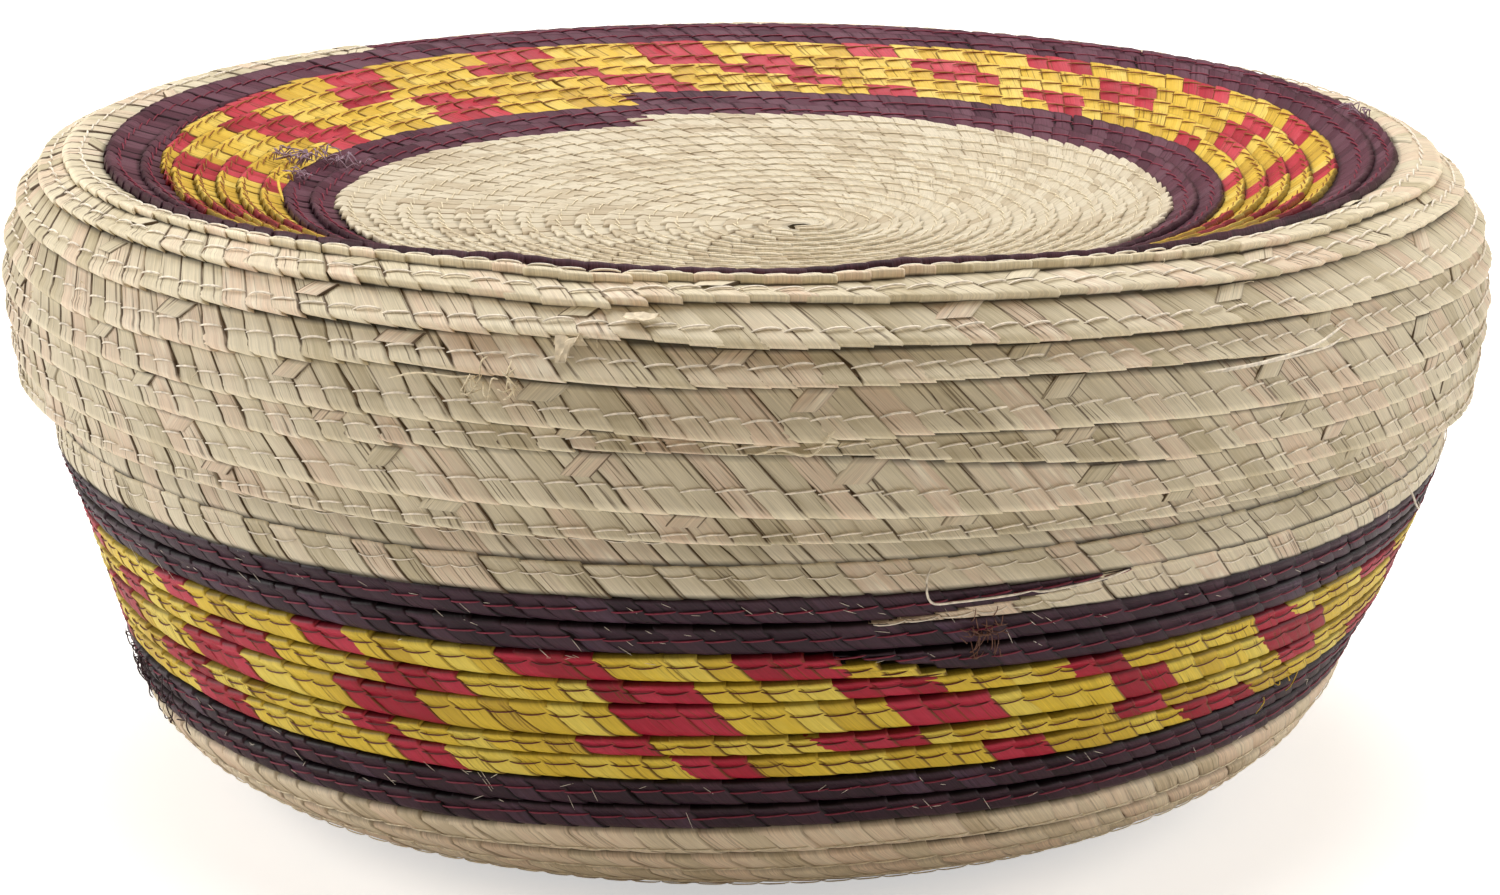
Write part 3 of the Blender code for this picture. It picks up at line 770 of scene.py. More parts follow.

# Each palm's colours from its darkest sliver to its palest, and the colour of its slits, which is
# painted shade at the sliver edges and the real colour of the splits. A lip shade above 0 is a
# painted highlight on the lips, and below 0 painted shade.
PALMS = {
    "natural palm": dict(
        tones=((0.12, (0.49, 0.42, 0.275)), (0.30, (0.64, 0.57, 0.415)),
               (0.50, (0.72, 0.65, 0.49)), (0.64, (0.70, 0.605, 0.455)),
               (0.76, (0.69, 0.55, 0.415)), (0.90, (0.82, 0.76, 0.61))),
        slit=(0.075, 0.042, 0.018), slit_shade_and_split_share=0.95, roughness=0.55, lip_shade=0.28,
        streaks=(0.76, 1.14)),
    # The foot's grooves are darkened as painted shade
    "worn foot palm": dict(
        tones=((0.12, (0.59, 0.48, 0.32)), (0.40, (0.80, 0.69, 0.51)),
               (0.66, (0.80, 0.62, 0.46)), (0.90, (0.84, 0.74, 0.56))),
        slit=(0.10, 0.06, 0.03), slit_shade_and_split_share=0.5, roughness=0.55, lip_shade=0.0,
        streaks=(0.76, 1.12), groove_shade=0.9),
    "pale natural palm": dict(
        tones=((0.15, (0.50, 0.42, 0.30)), (0.4, (0.61, 0.54, 0.41)),
               (0.85, (0.67, 0.61, 0.48))),
        slit=(0.22, 0.15, 0.08), slit_shade_and_split_share=0.6, roughness=0.55, crease_shade_strength=0.3,
        streaks=(0.80, 1.12)),
    "purple palm": dict(
        tones=((0.1, (0.024, 0.010, 0.018)), (0.5, (0.046, 0.020, 0.034)),
               (0.72, (0.058, 0.025, 0.040)), (0.9, (0.088, 0.050, 0.086))),
        slit=(0.004, 0.002, 0.003), slit_shade_and_split_share=0.85, roughness=0.42, shine=0.25,
        streaks=(0.55, 1.35), groove_shade=0.8),
    "faded purple palm": dict(
        tones=((0.1, (0.070, 0.024, 0.040)), (0.5, (0.116, 0.041, 0.064)),
               (0.9, (0.156, 0.072, 0.100))),
        slit=(0.010, 0.003, 0.005), slit_shade_and_split_share=0.7, roughness=0.5, shine=0.2,
        crease_shade_strength=0.75, lip_shade=-0.45, streaks=(0.72, 1.2)),
    "patterned palm": dict(
        tones=((0.1, (0.56, 0.37, 0.036)), (0.5, (0.77, 0.555, 0.050)),
               (0.9, (0.83, 0.68, 0.13))),
        slit=(0.12, 0.05, 0.006), slit_shade_and_split_share=0.85, roughness=0.45, lip_shade=0.0,
        streaks=(0.78, 1.12), groove_shade=0.6, dyed=CRIMSON),
    "faded patterned palm": dict(
        tones=((0.1, (0.56, 0.345, 0.044)), (0.5, (0.76, 0.51, 0.066)),
               (0.9, (0.82, 0.63, 0.155))),
        slit=(0.12, 0.05, 0.006), slit_shade_and_split_share=0.85, roughness=0.45, lip_shade=0.0,
        streaks=(0.78, 1.12), groove_shade=0.6, dyed=FADED_CRIMSON),
}

# Colour and roughness of what is plain
PLAINS = {
    "undyed thread": ((0.80, 0.73, 0.62), 0.55),
    "pale thread": ((0.70, 0.62, 0.46), 0.6),
    "dark red thread": ((0.19, 0.014, 0.040), 0.6),
    "rusty thread": ((0.26, 0.09, 0.012), 0.6),
    "brown red thread": ((0.095, 0.009, 0.007), 0.6),
    # The palms in the gaps are painted darker than their slivers, as the shade in the slits
    "palm in the gaps": ((0.17, 0.11, 0.06), 0.8),
    "pale palm in the gaps": ((0.40, 0.30, 0.18), 0.8),
    "dyed palm in the gaps": ((0.014, 0.006, 0.008), 0.8),
    "brown fibre": ((0.15, 0.065, 0.04), 0.7),
    "straw fibre": ((0.68, 0.59, 0.42), 0.7),
    "yellow fibre": ((0.68, 0.48, 0.05), 0.6),
    "torn palm": ((0.66, 0.57, 0.42), 0.6),
    "dark fibre": ((0.045, 0.020, 0.028), 0.7),
    "faded fibre": ((0.30, 0.20, 0.26), 0.7),
}


def make_materials():
    grain = palm_grain()
    materials = {name: palm_material(name, grain, **look) for name, look in PALMS.items()}
    for name, (colour, roughness) in PLAINS.items():
        materials[name] = plain_material(name, colour, roughness)
    return materials


class Strip:
    """One strip of braid: where it is wound, how it is plaited, sewn and dyed.

    rise, sink, pitch, width, crown, tilt, wave, tooth, sag and stitch_wave are in
    millimetres, slant and stitch_tilt are slopes, block_length is in degrees, and the other
    numbers are shares. A dict gives a value by turn.
    """

    section = LAPPED
    finish = "natural palm"
    thread_finish = "undyed thread"
    # The gap finish is painted shade: darker palm seen through the slits
    gap_shade_finish = "palm in the gaps"
    slot = "natural_palm"
    rise = 1.0
    sink = 0.5
    thread = 0.6
    pinch = 0.3
    open_share = 0.35
    pitch = 5.4
    width = 5.4
    slant = 0.88
    crown = 0.20
    tilt = 0.22
    wave = 1.6
    tooth = 0.3
    sag = 0.0
    stitch_tilt = 0.16
    stitch = "broad"
    stitch_wave = 0.6
    spread = 0.5
    crossings = 0.0
    blocks = None
    block_length = 0.0
    cut_near = 0.0
    cut_far = 0.0

    def __init__(self, node, wall, first, last, **own):
        self.node = node
        self.wall = wall
        self.first = first
        self.last = last
        for name, value in own.items():
            setattr(self, name, value)

    def steps(self, in_each_turn):
        return round((self.last - self.first) * in_each_turn)

    def edges(self, turns):
        """The lengths along the outline of the rows' near and far edges."""
        near, far = self.wall.along(turns), self.wall.along(turns + 1)
        breadth = far - near
        return (near + by_place(self.cut_near, turns) * breadth,
                far - by_place(self.cut_far, turns) * breadth)

    def dye(self, turns):
        """Which places of the spiral are dyed red."""
        dyed = np.zeros(len(turns))
        if self.blocks:
            rows = np.round(turns)
            angles = (turns - rows) * 360
            for row, starts in self.blocks.items():
                for start in all_round(starts):
                    away = (angles - start + 180) % 360 - 180
                    dyed[(rows == row) & (away >= 0) & (away < self.block_length)] = 1.0
        return dyed


def all_round(starts):
    """The blocks' starts, carried on at their usual step over the part of the turn with none."""
    starts = np.array(sorted(starts))
    gaps = np.diff(starts, append=starts[0] + 360)
    counts = np.maximum(1, np.round(gaps / np.median(gaps)))
    return [start + gap * i / count for start, gap, count in zip(starts, gaps, counts)
            for i in range(int(count))]


def lay_line(strip):
    """The line along the middle of a strip's rows, with what the trees read at each point."""
    turns = np.linspace(strip.first, strip.last, strip.steps(LAY_POINTS) + 1)
    near, far = strip.edges(turns)
    rise, sink, thread, pinch = (by_place(value, turns) for value in
                                 (strip.rise, strip.sink, strip.thread, strip.pinch))
    seat = rise * np.interp(thread, *np.transpose(strip.section[:-3])) - sink
    line = chain(strip.node + "_lay", strip.wall.place(turns, (near + far) / 2, 0 * turns))
    table = {"turn": turns, "near": near, "far": far, "dye": strip.dye(turns),
             "rise": rise * MM, "sink": sink * MM, "thread": thread, "pinch": pinch,
             "seat": seat * MM}
    for name, numbers in table.items():
        attribute = line.data.attributes.new(name, "FLOAT", "POINT")
        attribute.data.foreach_set("value", np.asarray(numbers, dtype=np.float32))
    return line


# The ribbon under the slivers: how far below them and inside the wall it stays, how far it
# is tucked under the row before it, where its top has corners, both as shares of the row,
# and how far its free edge stays behind the slivers' waves and teeth
RIBBON_DEPTH = 0.3 * MM
RIBBON_INSIDE = 0.9 * MM
RIBBON_TUCK = 0.1
RIBBON_CORNERS = (0.3, 0.6)
WAVE_ROOM = 0.35
TOOTH_ROOM = 0.4
LEAST_ROOM = 0.2
MOST_ROOM = 0.4


def ribbon(strip, finish):
    """The closed inner layers of the braid, which close the slits between its slivers, in a darker
    finish that paints the shade in the slits.
    """
    steps = strip.steps(RIBBON_POINTS)
    turns = np.linspace(strip.first, strip.last, steps + 1)
    wall = strip.wall
    near, far = strip.edges(turns)
    rise, sink = by_place(strip.rise, turns) * MM, by_place(strip.sink, turns) * MM
    breadth = far - near
    room = (WAVE_ROOM * strip.wave + TOOTH_ROOM * strip.tooth + LEAST_ROOM) * MM
    start, end = near - RIBBON_TUCK * breadth, far - np.minimum(room, MOST_ROOM * breadth)
    section = np.array(sorted(strip.section[:-2]))
    corners = []
    for along in (start, *(near + share * breadth for share in RIBBON_CORNERS), end):
        share = np.interp((along - near) / breadth, *section.T)
        corners.append((along, share * rise - sink - RIBBON_DEPTH))
    inner = RIBBON_INSIDE - wall.thickness
    corners += [(end, inner), (start, inner)]
    rings = [wall.place(turns, np.clip(along, 0, wall.length), height) for along, height in corners]
    faces = tube_faces(steps + 1, len(corners))
    if wall.outer_side > 0:
        faces = [face[::-1] for face in faces]
    core = mesh_object(strip.node + "_ribbon", np.stack(rings, axis=1).reshape(-1, 3), faces)
    core.data.materials.append(finish)
    return core


def tube(path, thickness):
    """A round fibre along a path, thinner at its ends, as vertices and faces."""
    ahead = np.gradient(path, axis=0)
    ahead /= np.linalg.norm(ahead, axis=1)[:, None]
    side = np.cross(ahead, (0.0, 0.0, 1.0))
    side /= np.maximum(np.linalg.norm(side, axis=1), TINY)[:, None]
    over = np.cross(ahead, side)
    share = np.linspace(-1, 1, len(path))
    size = thickness / 2 * (1 - FIBRE_TAPER * share ** 6)
    vertices = []
    for point, a, b, s in zip(path, side, over, size):
        for j in range(THREAD_SIDES):
            angle = FULL_TURN * j / THREAD_SIDES
            vertices.append(point + s * (math.cos(angle) * a + math.sin(angle) * b))
    return vertices, tube_faces(len(path), THREAD_SIDES)


def smooth_path(points, count):
    """This many points on a smooth curve through a few."""
    points = np.array(points, dtype=float)
    ends = np.vstack([2 * points[0] - points[1], points, 2 * points[-1] - points[-2]])
    path = []
    for u in np.linspace(0, len(points) - 1, count):
        i = min(int(u), len(points) - 2)
        t = u - i
        a, b, c, d = ends[i:i + 4]
        path.append(0.5 * (2 * b + (c - a) * t + (2 * a - 5 * b + 4 * c - d) * t ** 2
                           + (3 * b - a - 3 * c + d) * t ** 3))
    return np.array(path)


def fibres(name, paths, finish):
    """One mesh of loose fibres. Each has its path and its thickness in millimetres."""
    vertices, faces = [], []
    for path, thickness in paths:
        points, sides = tube(path, thickness * MM)
        faces += [tuple(len(vertices) + i for i in face) for face in sides]
        vertices += points
    thing = mesh_object(name, vertices, faces)
    thing.data.materials.append(finish)
    thing.data.shade_smooth()
    return thing


def torn_tongues(name, wall, finish):
    """Torn tongues of leaf on the lid, each a closed sheet from its root to its tip."""
    shares = np.linspace(0, 1, TONGUE_POINTS)
    ring = [(v, 0.0) for v in shares[::-1]] + [(v, TONGUE_THICKNESS) for v in shares]
    vertices, faces = [], []
    for root_left, root_right, tip_right, tip_left in np.array(TORN_TONGUES):
        faces += [tuple(len(vertices) + i for i in face)
                  for face in tube_faces(TONGUE_POINTS, len(ring))]
        for u in shares:
            for v, depth in ring:
                angle, row, height = ((root_left + (root_right - root_left) * v) * (1 - u)
                                      + (tip_left + (tip_right - tip_left) * v) * u)
                row += TONGUE_RAGGEDNESS * u * math.sin(TONGUE_TEETH * v + angle)
                vertices.append(wall.spot(angle, row, height - depth + TONGUE_CURL * u * v))
    thing = mesh_object(name, vertices, faces)
    thing.data.materials.append(finish)
    return thing


def joined(name, meshes, extra=()):
    """One object from several meshes."""
    things = []
    for mesh in meshes:
        thing = bpy.data.objects.new(name, mesh)
        bpy.context.scene.collection.objects.link(thing)
        things.append(thing)
    things += list(extra)
    with bpy.context.temp_override(active_object=things[0], object=things[0],
                                   selected_objects=things, selected_editable_objects=things):
        bpy.ops.object.join()
    things[0].name = name
    return things[0]


def drop(*things):
    for thing in things:
        bpy.data.objects.remove(thing, do_unlink=True)


def smooth_step(value, low, high):
    """0 up to low and 1 from high on, with a smooth rise between them."""
    share = np.clip((value - low) / (high - low), 0.0, 1.0)
    return share * share * (3 - 2 * share)


def hump(value, start, full, fade, end):
    """1 from full to fade, and smoothly down to 0 at start and at end."""
    return smooth_step(value, start, full) * (1 - smooth_step(value, fade, end))


def swing(angle, middle, reach):
    """1 at the middle angle, and smoothly down to 0 at its reach on both sides."""
    away = np.clip(np.abs(angle - middle) / reach, 0.0, 1.0)
    return np.cos(away * math.pi / 2) ** 2


def settle(thing, body):
    """Push a piece out of true where the real one has sagged or bulged."""
    places = np.empty(3 * len(thing.data.vertices))
    thing.data.vertices.foreach_get("co", places)
    x, y, z = places.reshape(-1, 3).T / MM
    angle = np.degrees(np.arctan2(x, -y))
    radius = np.hypot(x, y)
    clear = np.maximum(radius, AXIS_CLEARANCE)
    if body == "lid":
        z -= SIDE_SAG * swing(angle, *SIDE_SAG_ANGLES) * smooth_step(radius, *SIDE_SAG_RADII)
        z -= (1 + y / clear) / 2 * (DISC_SAG * hump(radius, *DISC_SAG_RADII)
                                    + BACK_RIM_SAG * smooth_step(radius, *BACK_RIM_SAG_RADII))
        z += by_place(RIM_LIFT, angle) * hump(radius, *RIM_LIFT_RADII)
        x += CENTRE_SHIFT * np.clip(1 - radius / CENTRE_SHIFT_RADIUS, 0.0, 1.0)
    else:
        bulge = BULGE * swing(angle, *BULGE_ANGLES) * hump(z, *BULGE_HEIGHTS)
        x += by_place(BASKET_LEAN, z) + bulge * x / clear
        y += bulge * y / clear
    thing.data.vertices.foreach_set("co", np.column_stack([x, y, z]).ravel() * MM)
    thing.data.update()


def place_piece(thing, body):
    """Settle a piece, and attach it to the empty of the body it rides on."""
    settle(thing, body)
    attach(thing, body)


def make_strips(basket, lid):
    """The twelve strips from the middle of each wall outwards."""
    beads = dict(section=BEAD, slant=-0.95, tooth=0.4, rise=1.7, sink=0.6, wave=0.9,
                 stitch_tilt=0.10, open_share=0.25)
    purple = dict(finish="purple palm", thread_finish="dark red thread", slot="purple_palm",
                  gap_shade_finish="dyed palm in the gaps", stitch="fine", stitch_wave=1.2)
    patterned = dict(finish="patterned palm", thread_finish="brown red thread",
                     slot="patterned_palm", gap_shade_finish="dyed palm in the gaps", stitch="thin")
    ring = dict(slant=0.9, pitch=4.8, width=4.8, rise=1.2, sink=1.1, wave=0.8, crown=0.3,
                open_share=0.25)
    faded_purple = dict(purple, finish="faded purple palm")
    faded_patterned = dict(patterned, finish="faded patterned palm", thread_finish="rusty thread")
    foot_start, foot_end = turn_at(8, -200), turn_at(15, -160)
    lower_purple_end = turn_at(17, -190)
    centre_end, inner_purple_end = turn_at(16, -165), turn_at(18, -165)
    outer_purple_end, shoulder_end = turn_at(25, -140), turn_at(29, -180)
    return [
        Strip("basket_floor_braid", basket, 0.0, foot_start, slant=-0.9, rise=0.6, sink=0.9,
              wave=0.6),
        Strip("basket_foot_braid", basket, foot_start, foot_end,
              **dict(beads, section=GROOVED, rise={8: 0.6, 10: 0.9, 12: 1.6, 15: 2.0},
                     sink={8: 0.95, 10: 1.0, 12: 0.8}, tooth=0.5, wave=1.4, thread=0.40,
                     stitch="hair", thread_finish="pale thread", finish="worn foot palm")),
        Strip("basket_lower_purple_braid", basket, foot_end, lower_purple_end,
              **dict(beads, **purple, thread=0.62)),
        Strip("basket_pattern_braid", basket, lower_purple_end, 21.039,
              **dict(beads, **patterned, width=6.2, pitch=5.6, thread=0.70, sag=-0.35, tooth=0.6,
                     open_share=0.15, blocks=BASKET_BLOCKS, block_length=BASKET_BLOCK_LENGTH,
                     cut_far={21.014: 0, 21.039: 0.9})),
        Strip("basket_upper_purple_braid", basket, 21.021, 23.079,
              **dict(beads, **purple, thread=0.58,
                     cut_near={21.021: 0.9, 21.045: 0.0, 23.029: 0.0, 23.079: 0.78})),
        Strip("basket_neck_braid", basket, 23.029, 30.5,
              **dict(beads, section=HANGING, rise={24: 1.5, 26: 1.3, 27: 0.7, 31: 0.6}, sag=-0.5,
                     sink={24: 0.4, 26: 0.5, 27: 0.4}, stitch="hair", thread=0.66, width=6.0,
                     pitch=5.8, cut_far={23.029: 0.93, 23.075: 0.25, 23.082: 0.0})),
        Strip("lid_centre_braid", lid, 0.0, centre_end, pitch=4.4, width=4.4, rise=0.6,
              sink=0.6, tilt=0.14, wave=1.0, tooth=0.8, open_share=0.1, pinch=0.0, spread=0.2,
              finish="pale natural palm", gap_shade_finish="pale palm in the gaps", stitch="hair",
              thread_finish="pale thread"),
        Strip("lid_inner_purple_braid", lid, centre_end, inner_purple_end,
              **dict(ring, **faded_purple)),
        Strip("lid_pattern_braid", lid, inner_purple_end, 22.80,
              **dict(ring, **faded_patterned, thread=0.78, blocks=LID_BLOCKS, tooth=0.5,
                     width=5.4, block_length=LID_BLOCK_LENGTH, cut_far={22.64: 0, 22.80: 0.92})),
        Strip("lid_outer_purple_braid", lid, 22.64, outer_purple_end,
              **dict(ring, **faded_purple, cut_near={22.64: 0.92, 22.80: 0},
                     rise={23.5: 1.2, 23.8: 1.5, 24.0: 1.7, 24.2: 1.5, 24.4: 1.0},
                     sink={23.5: 1.1, 23.8: 0.7, 24.2: 0.7, 24.4: 1.0})),
        Strip("lid_shoulder_braid", lid, outer_purple_end, shoulder_end, tooth=0.25, tilt=0.2,
              wave=1.9, sag=-0.35, stitch_tilt=0.13,
              rise={24.8: 1.2, 25: 1.6, 27: 1.9, 28: 1.8, 29: 1.3},
              sink={24.8: 0.7, 25: 0.6, 28: 0.7, 29: 0.5},
              thread={25: 0.6, 26: 0.55, 27: 0.66, 28: 0.5, 29: 0.56}, crossings=0.4),
        Strip("lid_skirt_braid", lid, shoulder_end, 32.5, tooth=0.25, tilt=0.2, sag=-0.35,
              stitch_tilt=0.13,
              rise={28.5: 1.7, 29: 1.3, 30: 1.0, 31: 1.1, 32: 1.6, 32.5: 1.8},
              sink={28.5: 0.7, 29: 0.6, 30: 0.5, 32: 0.6},
              thread={28.5: 0.52, 29: 0.60, 30: 0.45, 31: 0.58, 32: 0.7}, crossings=0.5),
    ]


# How far inside the wall's inner face the inner layer starts, the slivers that cross under
# the others, how high thread lies on the palm, and the seeds of each strip's layers
INNER_LAYER = 0.8 * MM
CROSSING_STEP = 21 * MM
CROSSING_WIDTH = 4.6 * MM
CROSSING_SPREAD = 0.9
CROSSING_DEPTH = 0.22 * MM
THREAD_HEIGHT = 0.28 * MM
SEED_STEP = 10
LEAF_SEED = 3
CROSSING_SEED = 400


def dress(strip, number, outline, trees, shapes, materials):
    """Plait and sew one strip. Gives back its piece of palm and its piece of thread."""
    lay = lay_line(strip)
    side = strip.wall.outer_side
    base = {"Outline": outline, "Finish": materials[strip.finish], "Outer Side": float(side),
            "Seed": SEED_STEP * number + LEAF_SEED, "Pitch": strip.pitch * MM,
            "Width": strip.width * MM, "Spread": strip.spread, "Slant": strip.slant,
            "Crown": strip.crown * MM, "Tilt": strip.tilt * MM, "Depth": 0.0, "Sink": 1.0,
            "Wave": strip.wave * MM, "Tooth": strip.tooth * MM, "Open": strip.open_share}
    inner = dict(base, Shape=shapes[INSIDE], Depth=strip.wall.thickness - INNER_LAYER, Sink=0.0,
                 Tooth=0.0, Wave=0.0)
    inner["Outer Side"] = -float(side)
    layers = [dict(base, Shape=shapes[strip.section]), inner]
    if strip.crossings:
        layers.append(dict(base, Shape=shapes[CROSSING], Pitch=CROSSING_STEP / strip.crossings,
                           Width=CROSSING_WIDTH, Spread=CROSSING_SPREAD, Slant=-strip.slant,
                           Depth=CROSSING_DEPTH, Seed=SEED_STEP * number + CROSSING_SEED))
    piece = joined(strip.node.replace("_braid", "_plait"),
                   [grow(lay, trees["plait"], layer) for layer in layers],
                   [ribbon(strip, materials[strip.gap_shade_finish])])
    sewing = dict(base, Shape=shapes[strip.stitch], Finish=materials[strip.thread_finish],
                  Wave=strip.stitch_wave * MM, Depth=THREAD_HEIGHT, Sag=strip.sag * MM,
                  Tilt=strip.stitch_tilt * side)
    seam = joined(strip.node.replace("_braid", "_thread"), [grow(lay, trees["sew"], sewing)])
    drop(lay)
    return piece, seam


# At the walls' fronts, how many millimetres a degree and a row are
DEGREE = 2.1
ROW = 5.5

# The points of an end of thread, a whisker and a scratch. A whisker's root lies this high,
# its tip hangs lower than its middle by a share, and its length is at least a share of the
# longest. Scratches have their height, lengths and thickness, and their directions in
# radians. Lengths are in millimetres.
FIBRE_SEED = 11
END_POINTS = 24
WHISKER_POINTS = 7
SCRATCH_POINTS = 4
WHISKER_ROOT = 0.5
WHISKER_TIP = 0.9
WHISKER_SHARES = (0.5, 1.0)
SCRATCH_HEIGHT = 1.3
SCRATCH_LENGTHS = (1.0, 2.8)
SCRATCH_WAYS = (-0.75, -0.3)
SCRATCH_THICKNESS = 0.09


def loose_fibres(basket, lid):
    """The ends, loops and frays that stand off the braid, with their finish, wall and slot."""
    chance = np.random.default_rng(FIBRE_SEED)

    def end(wall, thickness, *spots):
        """An end of thread or leaf through these spots."""
        return smooth_path([wall.spot(*spot) for spot in spots], END_POINTS), thickness

    def whiskers(wall, number, angles, rows, length, lift, thickness):
        """Short fibres that stick out between these angles and rows."""
        paths = []
        for _ in range(number):
            angle, row = chance.uniform(*angles), chance.uniform(*rows)
            way = chance.uniform(0, FULL_TURN)
            reach = chance.uniform(*WHISKER_SHARES) * length
            across, aside = reach * math.sin(way) / ROW, reach * math.cos(way) / DEGREE
            spots = ((angle, row, WHISKER_ROOT), (angle + aside / 2, row + across / 2, lift),
                     (angle + aside, row + across, lift * WHISKER_TIP))
            paths.append((smooth_path([wall.spot(*spot) for spot in spots], WHISKER_POINTS),
                          thickness))
        return paths

    def scratches(number, angles, rows):
        """Short straight pale fibres that lie on the purple rows, down to the right."""
        paths = []
        for _ in range(number):
            angle, row = chance.uniform(*angles), chance.uniform(*rows)
            way = chance.uniform(*SCRATCH_WAYS)
            reach = chance.uniform(*SCRATCH_LENGTHS)
            tip = (angle + reach * math.cos(way) / DEGREE, row + reach * math.sin(way) / ROW)
            paths.append((np.linspace(basket.spot(angle, row, SCRATCH_HEIGHT),
                                      basket.spot(*tip, SCRATCH_HEIGHT), SCRATCH_POINTS),
                          SCRATCH_THICKNESS))
        return paths

    return (
        ("basket_loose_thread", "undyed thread", basket, "natural_palm", [
            end(basket, 0.42, (13.4, 24.75, 1.4), (12.9, 24.3, 2.6), (13.3, 23.85, 2.4),
                (15.5, 23.68, 1.9), (19.3, 23.72, 1.9), (21.2, 23.8, 1.5)),
            end(basket, 0.42, (21.2, 23.8, 1.5), (22.5, 23.79, 2.1), (26.7, 23.9, 2.1),
                (29.3, 23.98, 1.4)),
            end(basket, 0.4, (61.5, 24.5, 1.2), (62.0, 23.9, 3.2), (64.0, 23.2, 3.6),
                (67.0, 22.8, 3.0), (69.5, 22.6, 1.6))]),
        ("lid_loose_thread", "undyed thread", lid, "natural_palm", [
            end(lid, 0.5, (33.0, 29.15, 1.3), (38.0, 29.06, 2.0), (43.0, 28.98, 2.1),
                (47.0, 28.9, 1.4)),
            end(lid, 0.4, (34.0, 29.22, 1.3), (39.0, 29.14, 2.1), (44.0, 29.0, 2.1),
                (46.5, 28.97, 1.4))]),
        ("lid_loose_palm", "straw fibre", lid, "natural_palm", [
            end(lid, 0.4, (0.5, 30.5, 1.0), (2.2, 30.28, 1.7), (4.2, 30.1, 1.6),
                (5.8, 29.75, 1.2)),
            end(lid, 0.35, (-25.0, 28.95, 1.2), (-22.5, 29.12, 2.6), (-20.0, 29.05, 2.4),
                (-18.6, 28.8, 1.3)),
            *whiskers(lid, 16, (-18.6, -15.4), (28.8, 29.15), 3.4, 2.4, 0.3),
            *whiskers(lid, 24, (-80, 80), (26, 32), 2.0, 1.5, 0.12)]),
        ("basket_pale_fluff", "undyed thread", basket, "purple_palm", [
            *scratches(70, (-62, 62), (21.9, 24.0)), *scratches(40, (-62, 62), (15.2, 17.0)),
            *scratches(8, (-16, -4), (21.9, 22.6)), *scratches(8, (-26, -8), (16.0, 16.7))]),
        ("basket_brown_fluff", "brown fibre", basket, "purple_palm",
         whiskers(basket, 44, (16.6, 19.6), (21.8, 22.9), 3.0, 2.0, 0.18)),
        ("basket_dark_fluff", "dark fibre", basket, "purple_palm",
         whiskers(basket, 60, (-78, -60), (15.1, 16.9), 2.6, 1.9, 0.24)),
        ("basket_yellow_fray", "yellow fibre", basket, "patterned_palm",
         whiskers(basket, 5, (52, 56), (16.8, 17.4), 2.4, 1.7, 0.22)),
        ("lid_yellow_loop", "yellow fibre", lid, "patterned_palm", [
            end(lid, 0.6, (-77.5, 18.16, 0.8), (-82.0, 18.35, 3.2), (-88.0, 17.95, 3.2),
                (-91.0, 17.59, 1.0))]),
        ("lid_start_fray", "faded fibre", lid, "purple_palm", [
            *whiskers(lid, 34, (-105, -100), (18.0, 18.8), 3.4, 2.4, 0.28),
            *whiskers(lid, 30, (-110, -104), (16.3, 18.0), 3.4, 2.2, 0.28),
            *whiskers(lid, 14, (-96, -92), (17.4, 17.9), 3.0, 2.0, 0.25),
            *whiskers(lid, 12, (98, 102), (24.0, 24.4), 2.6, 2.2, 0.25)]))


def main():
    basket, lid = basket_wall(), lid_wall()
    outlines = {}
    for wall in (basket, lid):
        radii, heights = wall.points.T
        outlines[wall.body] = chain(wall.body + "_outline",
                                    np.column_stack([radii, 0 * radii, heights]))
    materials = make_materials()
    winding = winding_tree()
    trees = {"plait": repeating_tree("plait slivers", winding, PLAIT_SIZES, sliver_place),
             "sew": repeating_tree("sew stitches", winding, SEWING_SIZES, stitch_place)}
    shapes = {section: sliver_shape("sliver", section)
              for section in (LAPPED, BEAD, GROOVED, HANGING, CROSSING, INSIDE)}
    for kind, sizes in STITCHES.items():
        shapes[kind] = stitch_shape(kind + " stitch", *(size * MM for size in sizes))
    for number, strip in enumerate(make_strips(basket, lid)):
        body = strip.wall.body
        piece, seam = dress(strip, number, outlines[body], trees, shapes, materials)
        place_piece(piece, body)
        place_piece(seam, body)
        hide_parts(strip.node)
    for name, finish, wall, slot, paths in loose_fibres(basket, lid):
        place_piece(fibres(name, paths, materials[finish]), wall.body)
    torn = torn_tongues("lid_torn_palm", lid, materials["torn palm"])
    place_piece(torn, "lid")
    drop(*shapes.values(), *outlines.values())


# The studio, in metres, watts and degrees. Each lamp has its place, what it aims at, its
# size and its power. The floor glows a little under the basket and turns white far away:
# the glow has both distances and both strengths. The lens and its sensor are in millimetres.
FLOOR_HALF = 3.0
FLOOR_DROP = 0.4 * MM
FLOOR_GREY = 0.86
FLOOR_ROUGHNESS = 0.9
FLOOR_GLOW = (0.4, 1.3, 0.55, 1.0)
SKY = (0.28, 0.22, 0.145, 1)
WHITE = (1, 1, 1, 1)
LAMPS = {"top light": ((0.0, 0.15, 1.2), (0, 0, 0.08), 1.1, 15.0),
         "left light": ((-1.25, 0.05, 0.55), (0, 0, 0.06), 1.0, 10.5),
         "right light": ((1.25, 0.05, 0.55), (0, 0, 0.06), 1.0, 7.5)}
CAMERA_DISTANCE = 0.9
CAMERA_ELEVATION = 14.77
CAMERA_AIM_HEIGHT = 56.6 * MM
LENS = 116.6
SENSOR_WIDTH = 36.0
SHIFT_PIXELS = 2.6
PHOTO_WIDTH_PIXELS = 1500


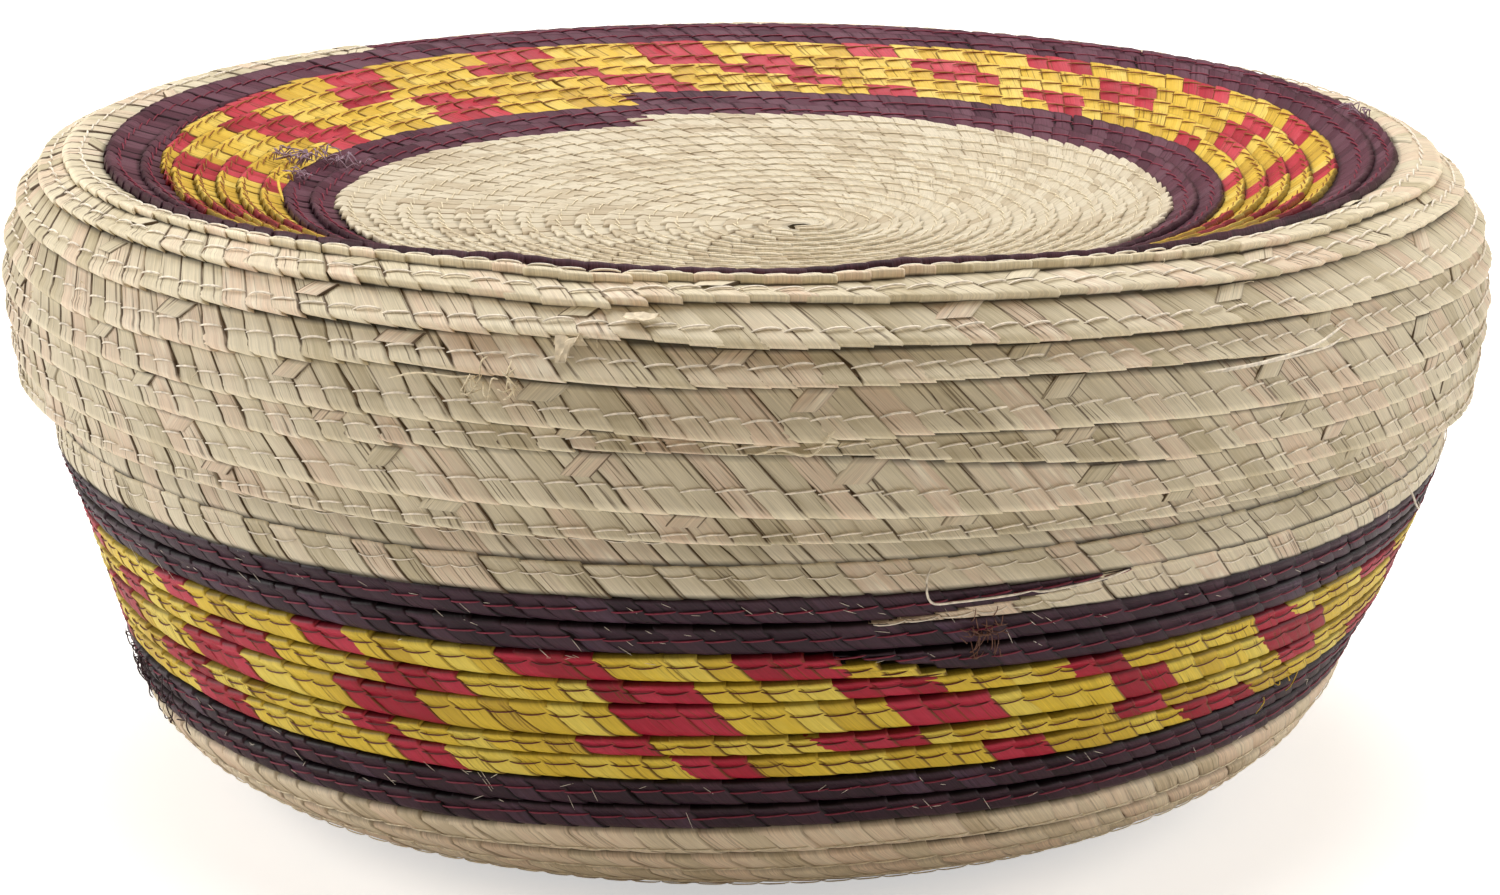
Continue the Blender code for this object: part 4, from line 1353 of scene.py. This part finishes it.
def studio():
    """A pale floor, soft light from above and both sides, and the photograph's camera."""
    scene = bpy.context.scene
    scene.view_settings.view_transform = "Standard"
    half = FLOOR_HALF
    floor = mesh_object("floor", [(-half, -half, 0), (half, -half, 0), (half, half, 0),
                                  (-half, half, 0)], [(0, 1, 2, 3)])
    floor.location.z = -FLOOR_DROP
    material, nodes, shader = new_material("white floor")
    shader.inputs["Base Color"].default_value = (FLOOR_GREY, FLOOR_GREY, FLOOR_GREY, 1)
    shader.inputs["Roughness"].default_value = FLOOR_ROUGHNESS
    shader.inputs["Emission Color"].default_value = WHITE
    seen = nodes.add("ShaderNodeLightPath", out="Is Camera Ray")
    spot = nodes.add("ShaderNodeTexCoord", out="Object")
    away = nodes.add("ShaderNodeVectorMath", {0: spot}, out="Value", operation="LENGTH")
    nodes.feed(shader.inputs["Emission Strength"], seen * nodes.ranged(away, *FLOOR_GLOW))
    floor.data.materials.append(material)

    world = bpy.data.worlds.new("studio")
    scene.world = world
    world.use_nodes = True
    world.node_tree.nodes.clear()
    nodes = Nodes(world.node_tree)
    seen = nodes.add("ShaderNodeLightPath", out="Is Camera Ray")
    background = nodes.add("ShaderNodeBackground", {"Color": mix(nodes, seen, SKY, WHITE)})
    nodes.add("ShaderNodeOutputWorld", {0: background})

    for name, (place, aim, size, power) in LAMPS.items():
        data = bpy.data.lights.new(name, "AREA")
        data.shape = "DISK"
        data.size = size
        data.energy = power
        lamp = bpy.data.objects.new(name, data)
        lamp.location = place
        lamp.rotation_euler = (Vector(aim) - Vector(place)).to_track_quat("-Z", "Y").to_euler()
        scene.collection.objects.link(lamp)

    data = bpy.data.cameras.new("camera")
    data.lens = LENS
    data.sensor_width = SENSOR_WIDTH
    data.shift_x = SHIFT_PIXELS / PHOTO_WIDTH_PIXELS
    camera = bpy.data.objects.new("camera", data)
    elevation = math.radians(CAMERA_ELEVATION)
    camera.location = (0.0, -CAMERA_DISTANCE * math.cos(elevation),
                       CAMERA_AIM_HEIGHT + CAMERA_DISTANCE * math.sin(elevation))
    camera.rotation_euler = (math.pi / 2 - elevation, 0.0, 0.0)
    scene.collection.objects.link(camera)
    scene.camera = camera


main()
studio()
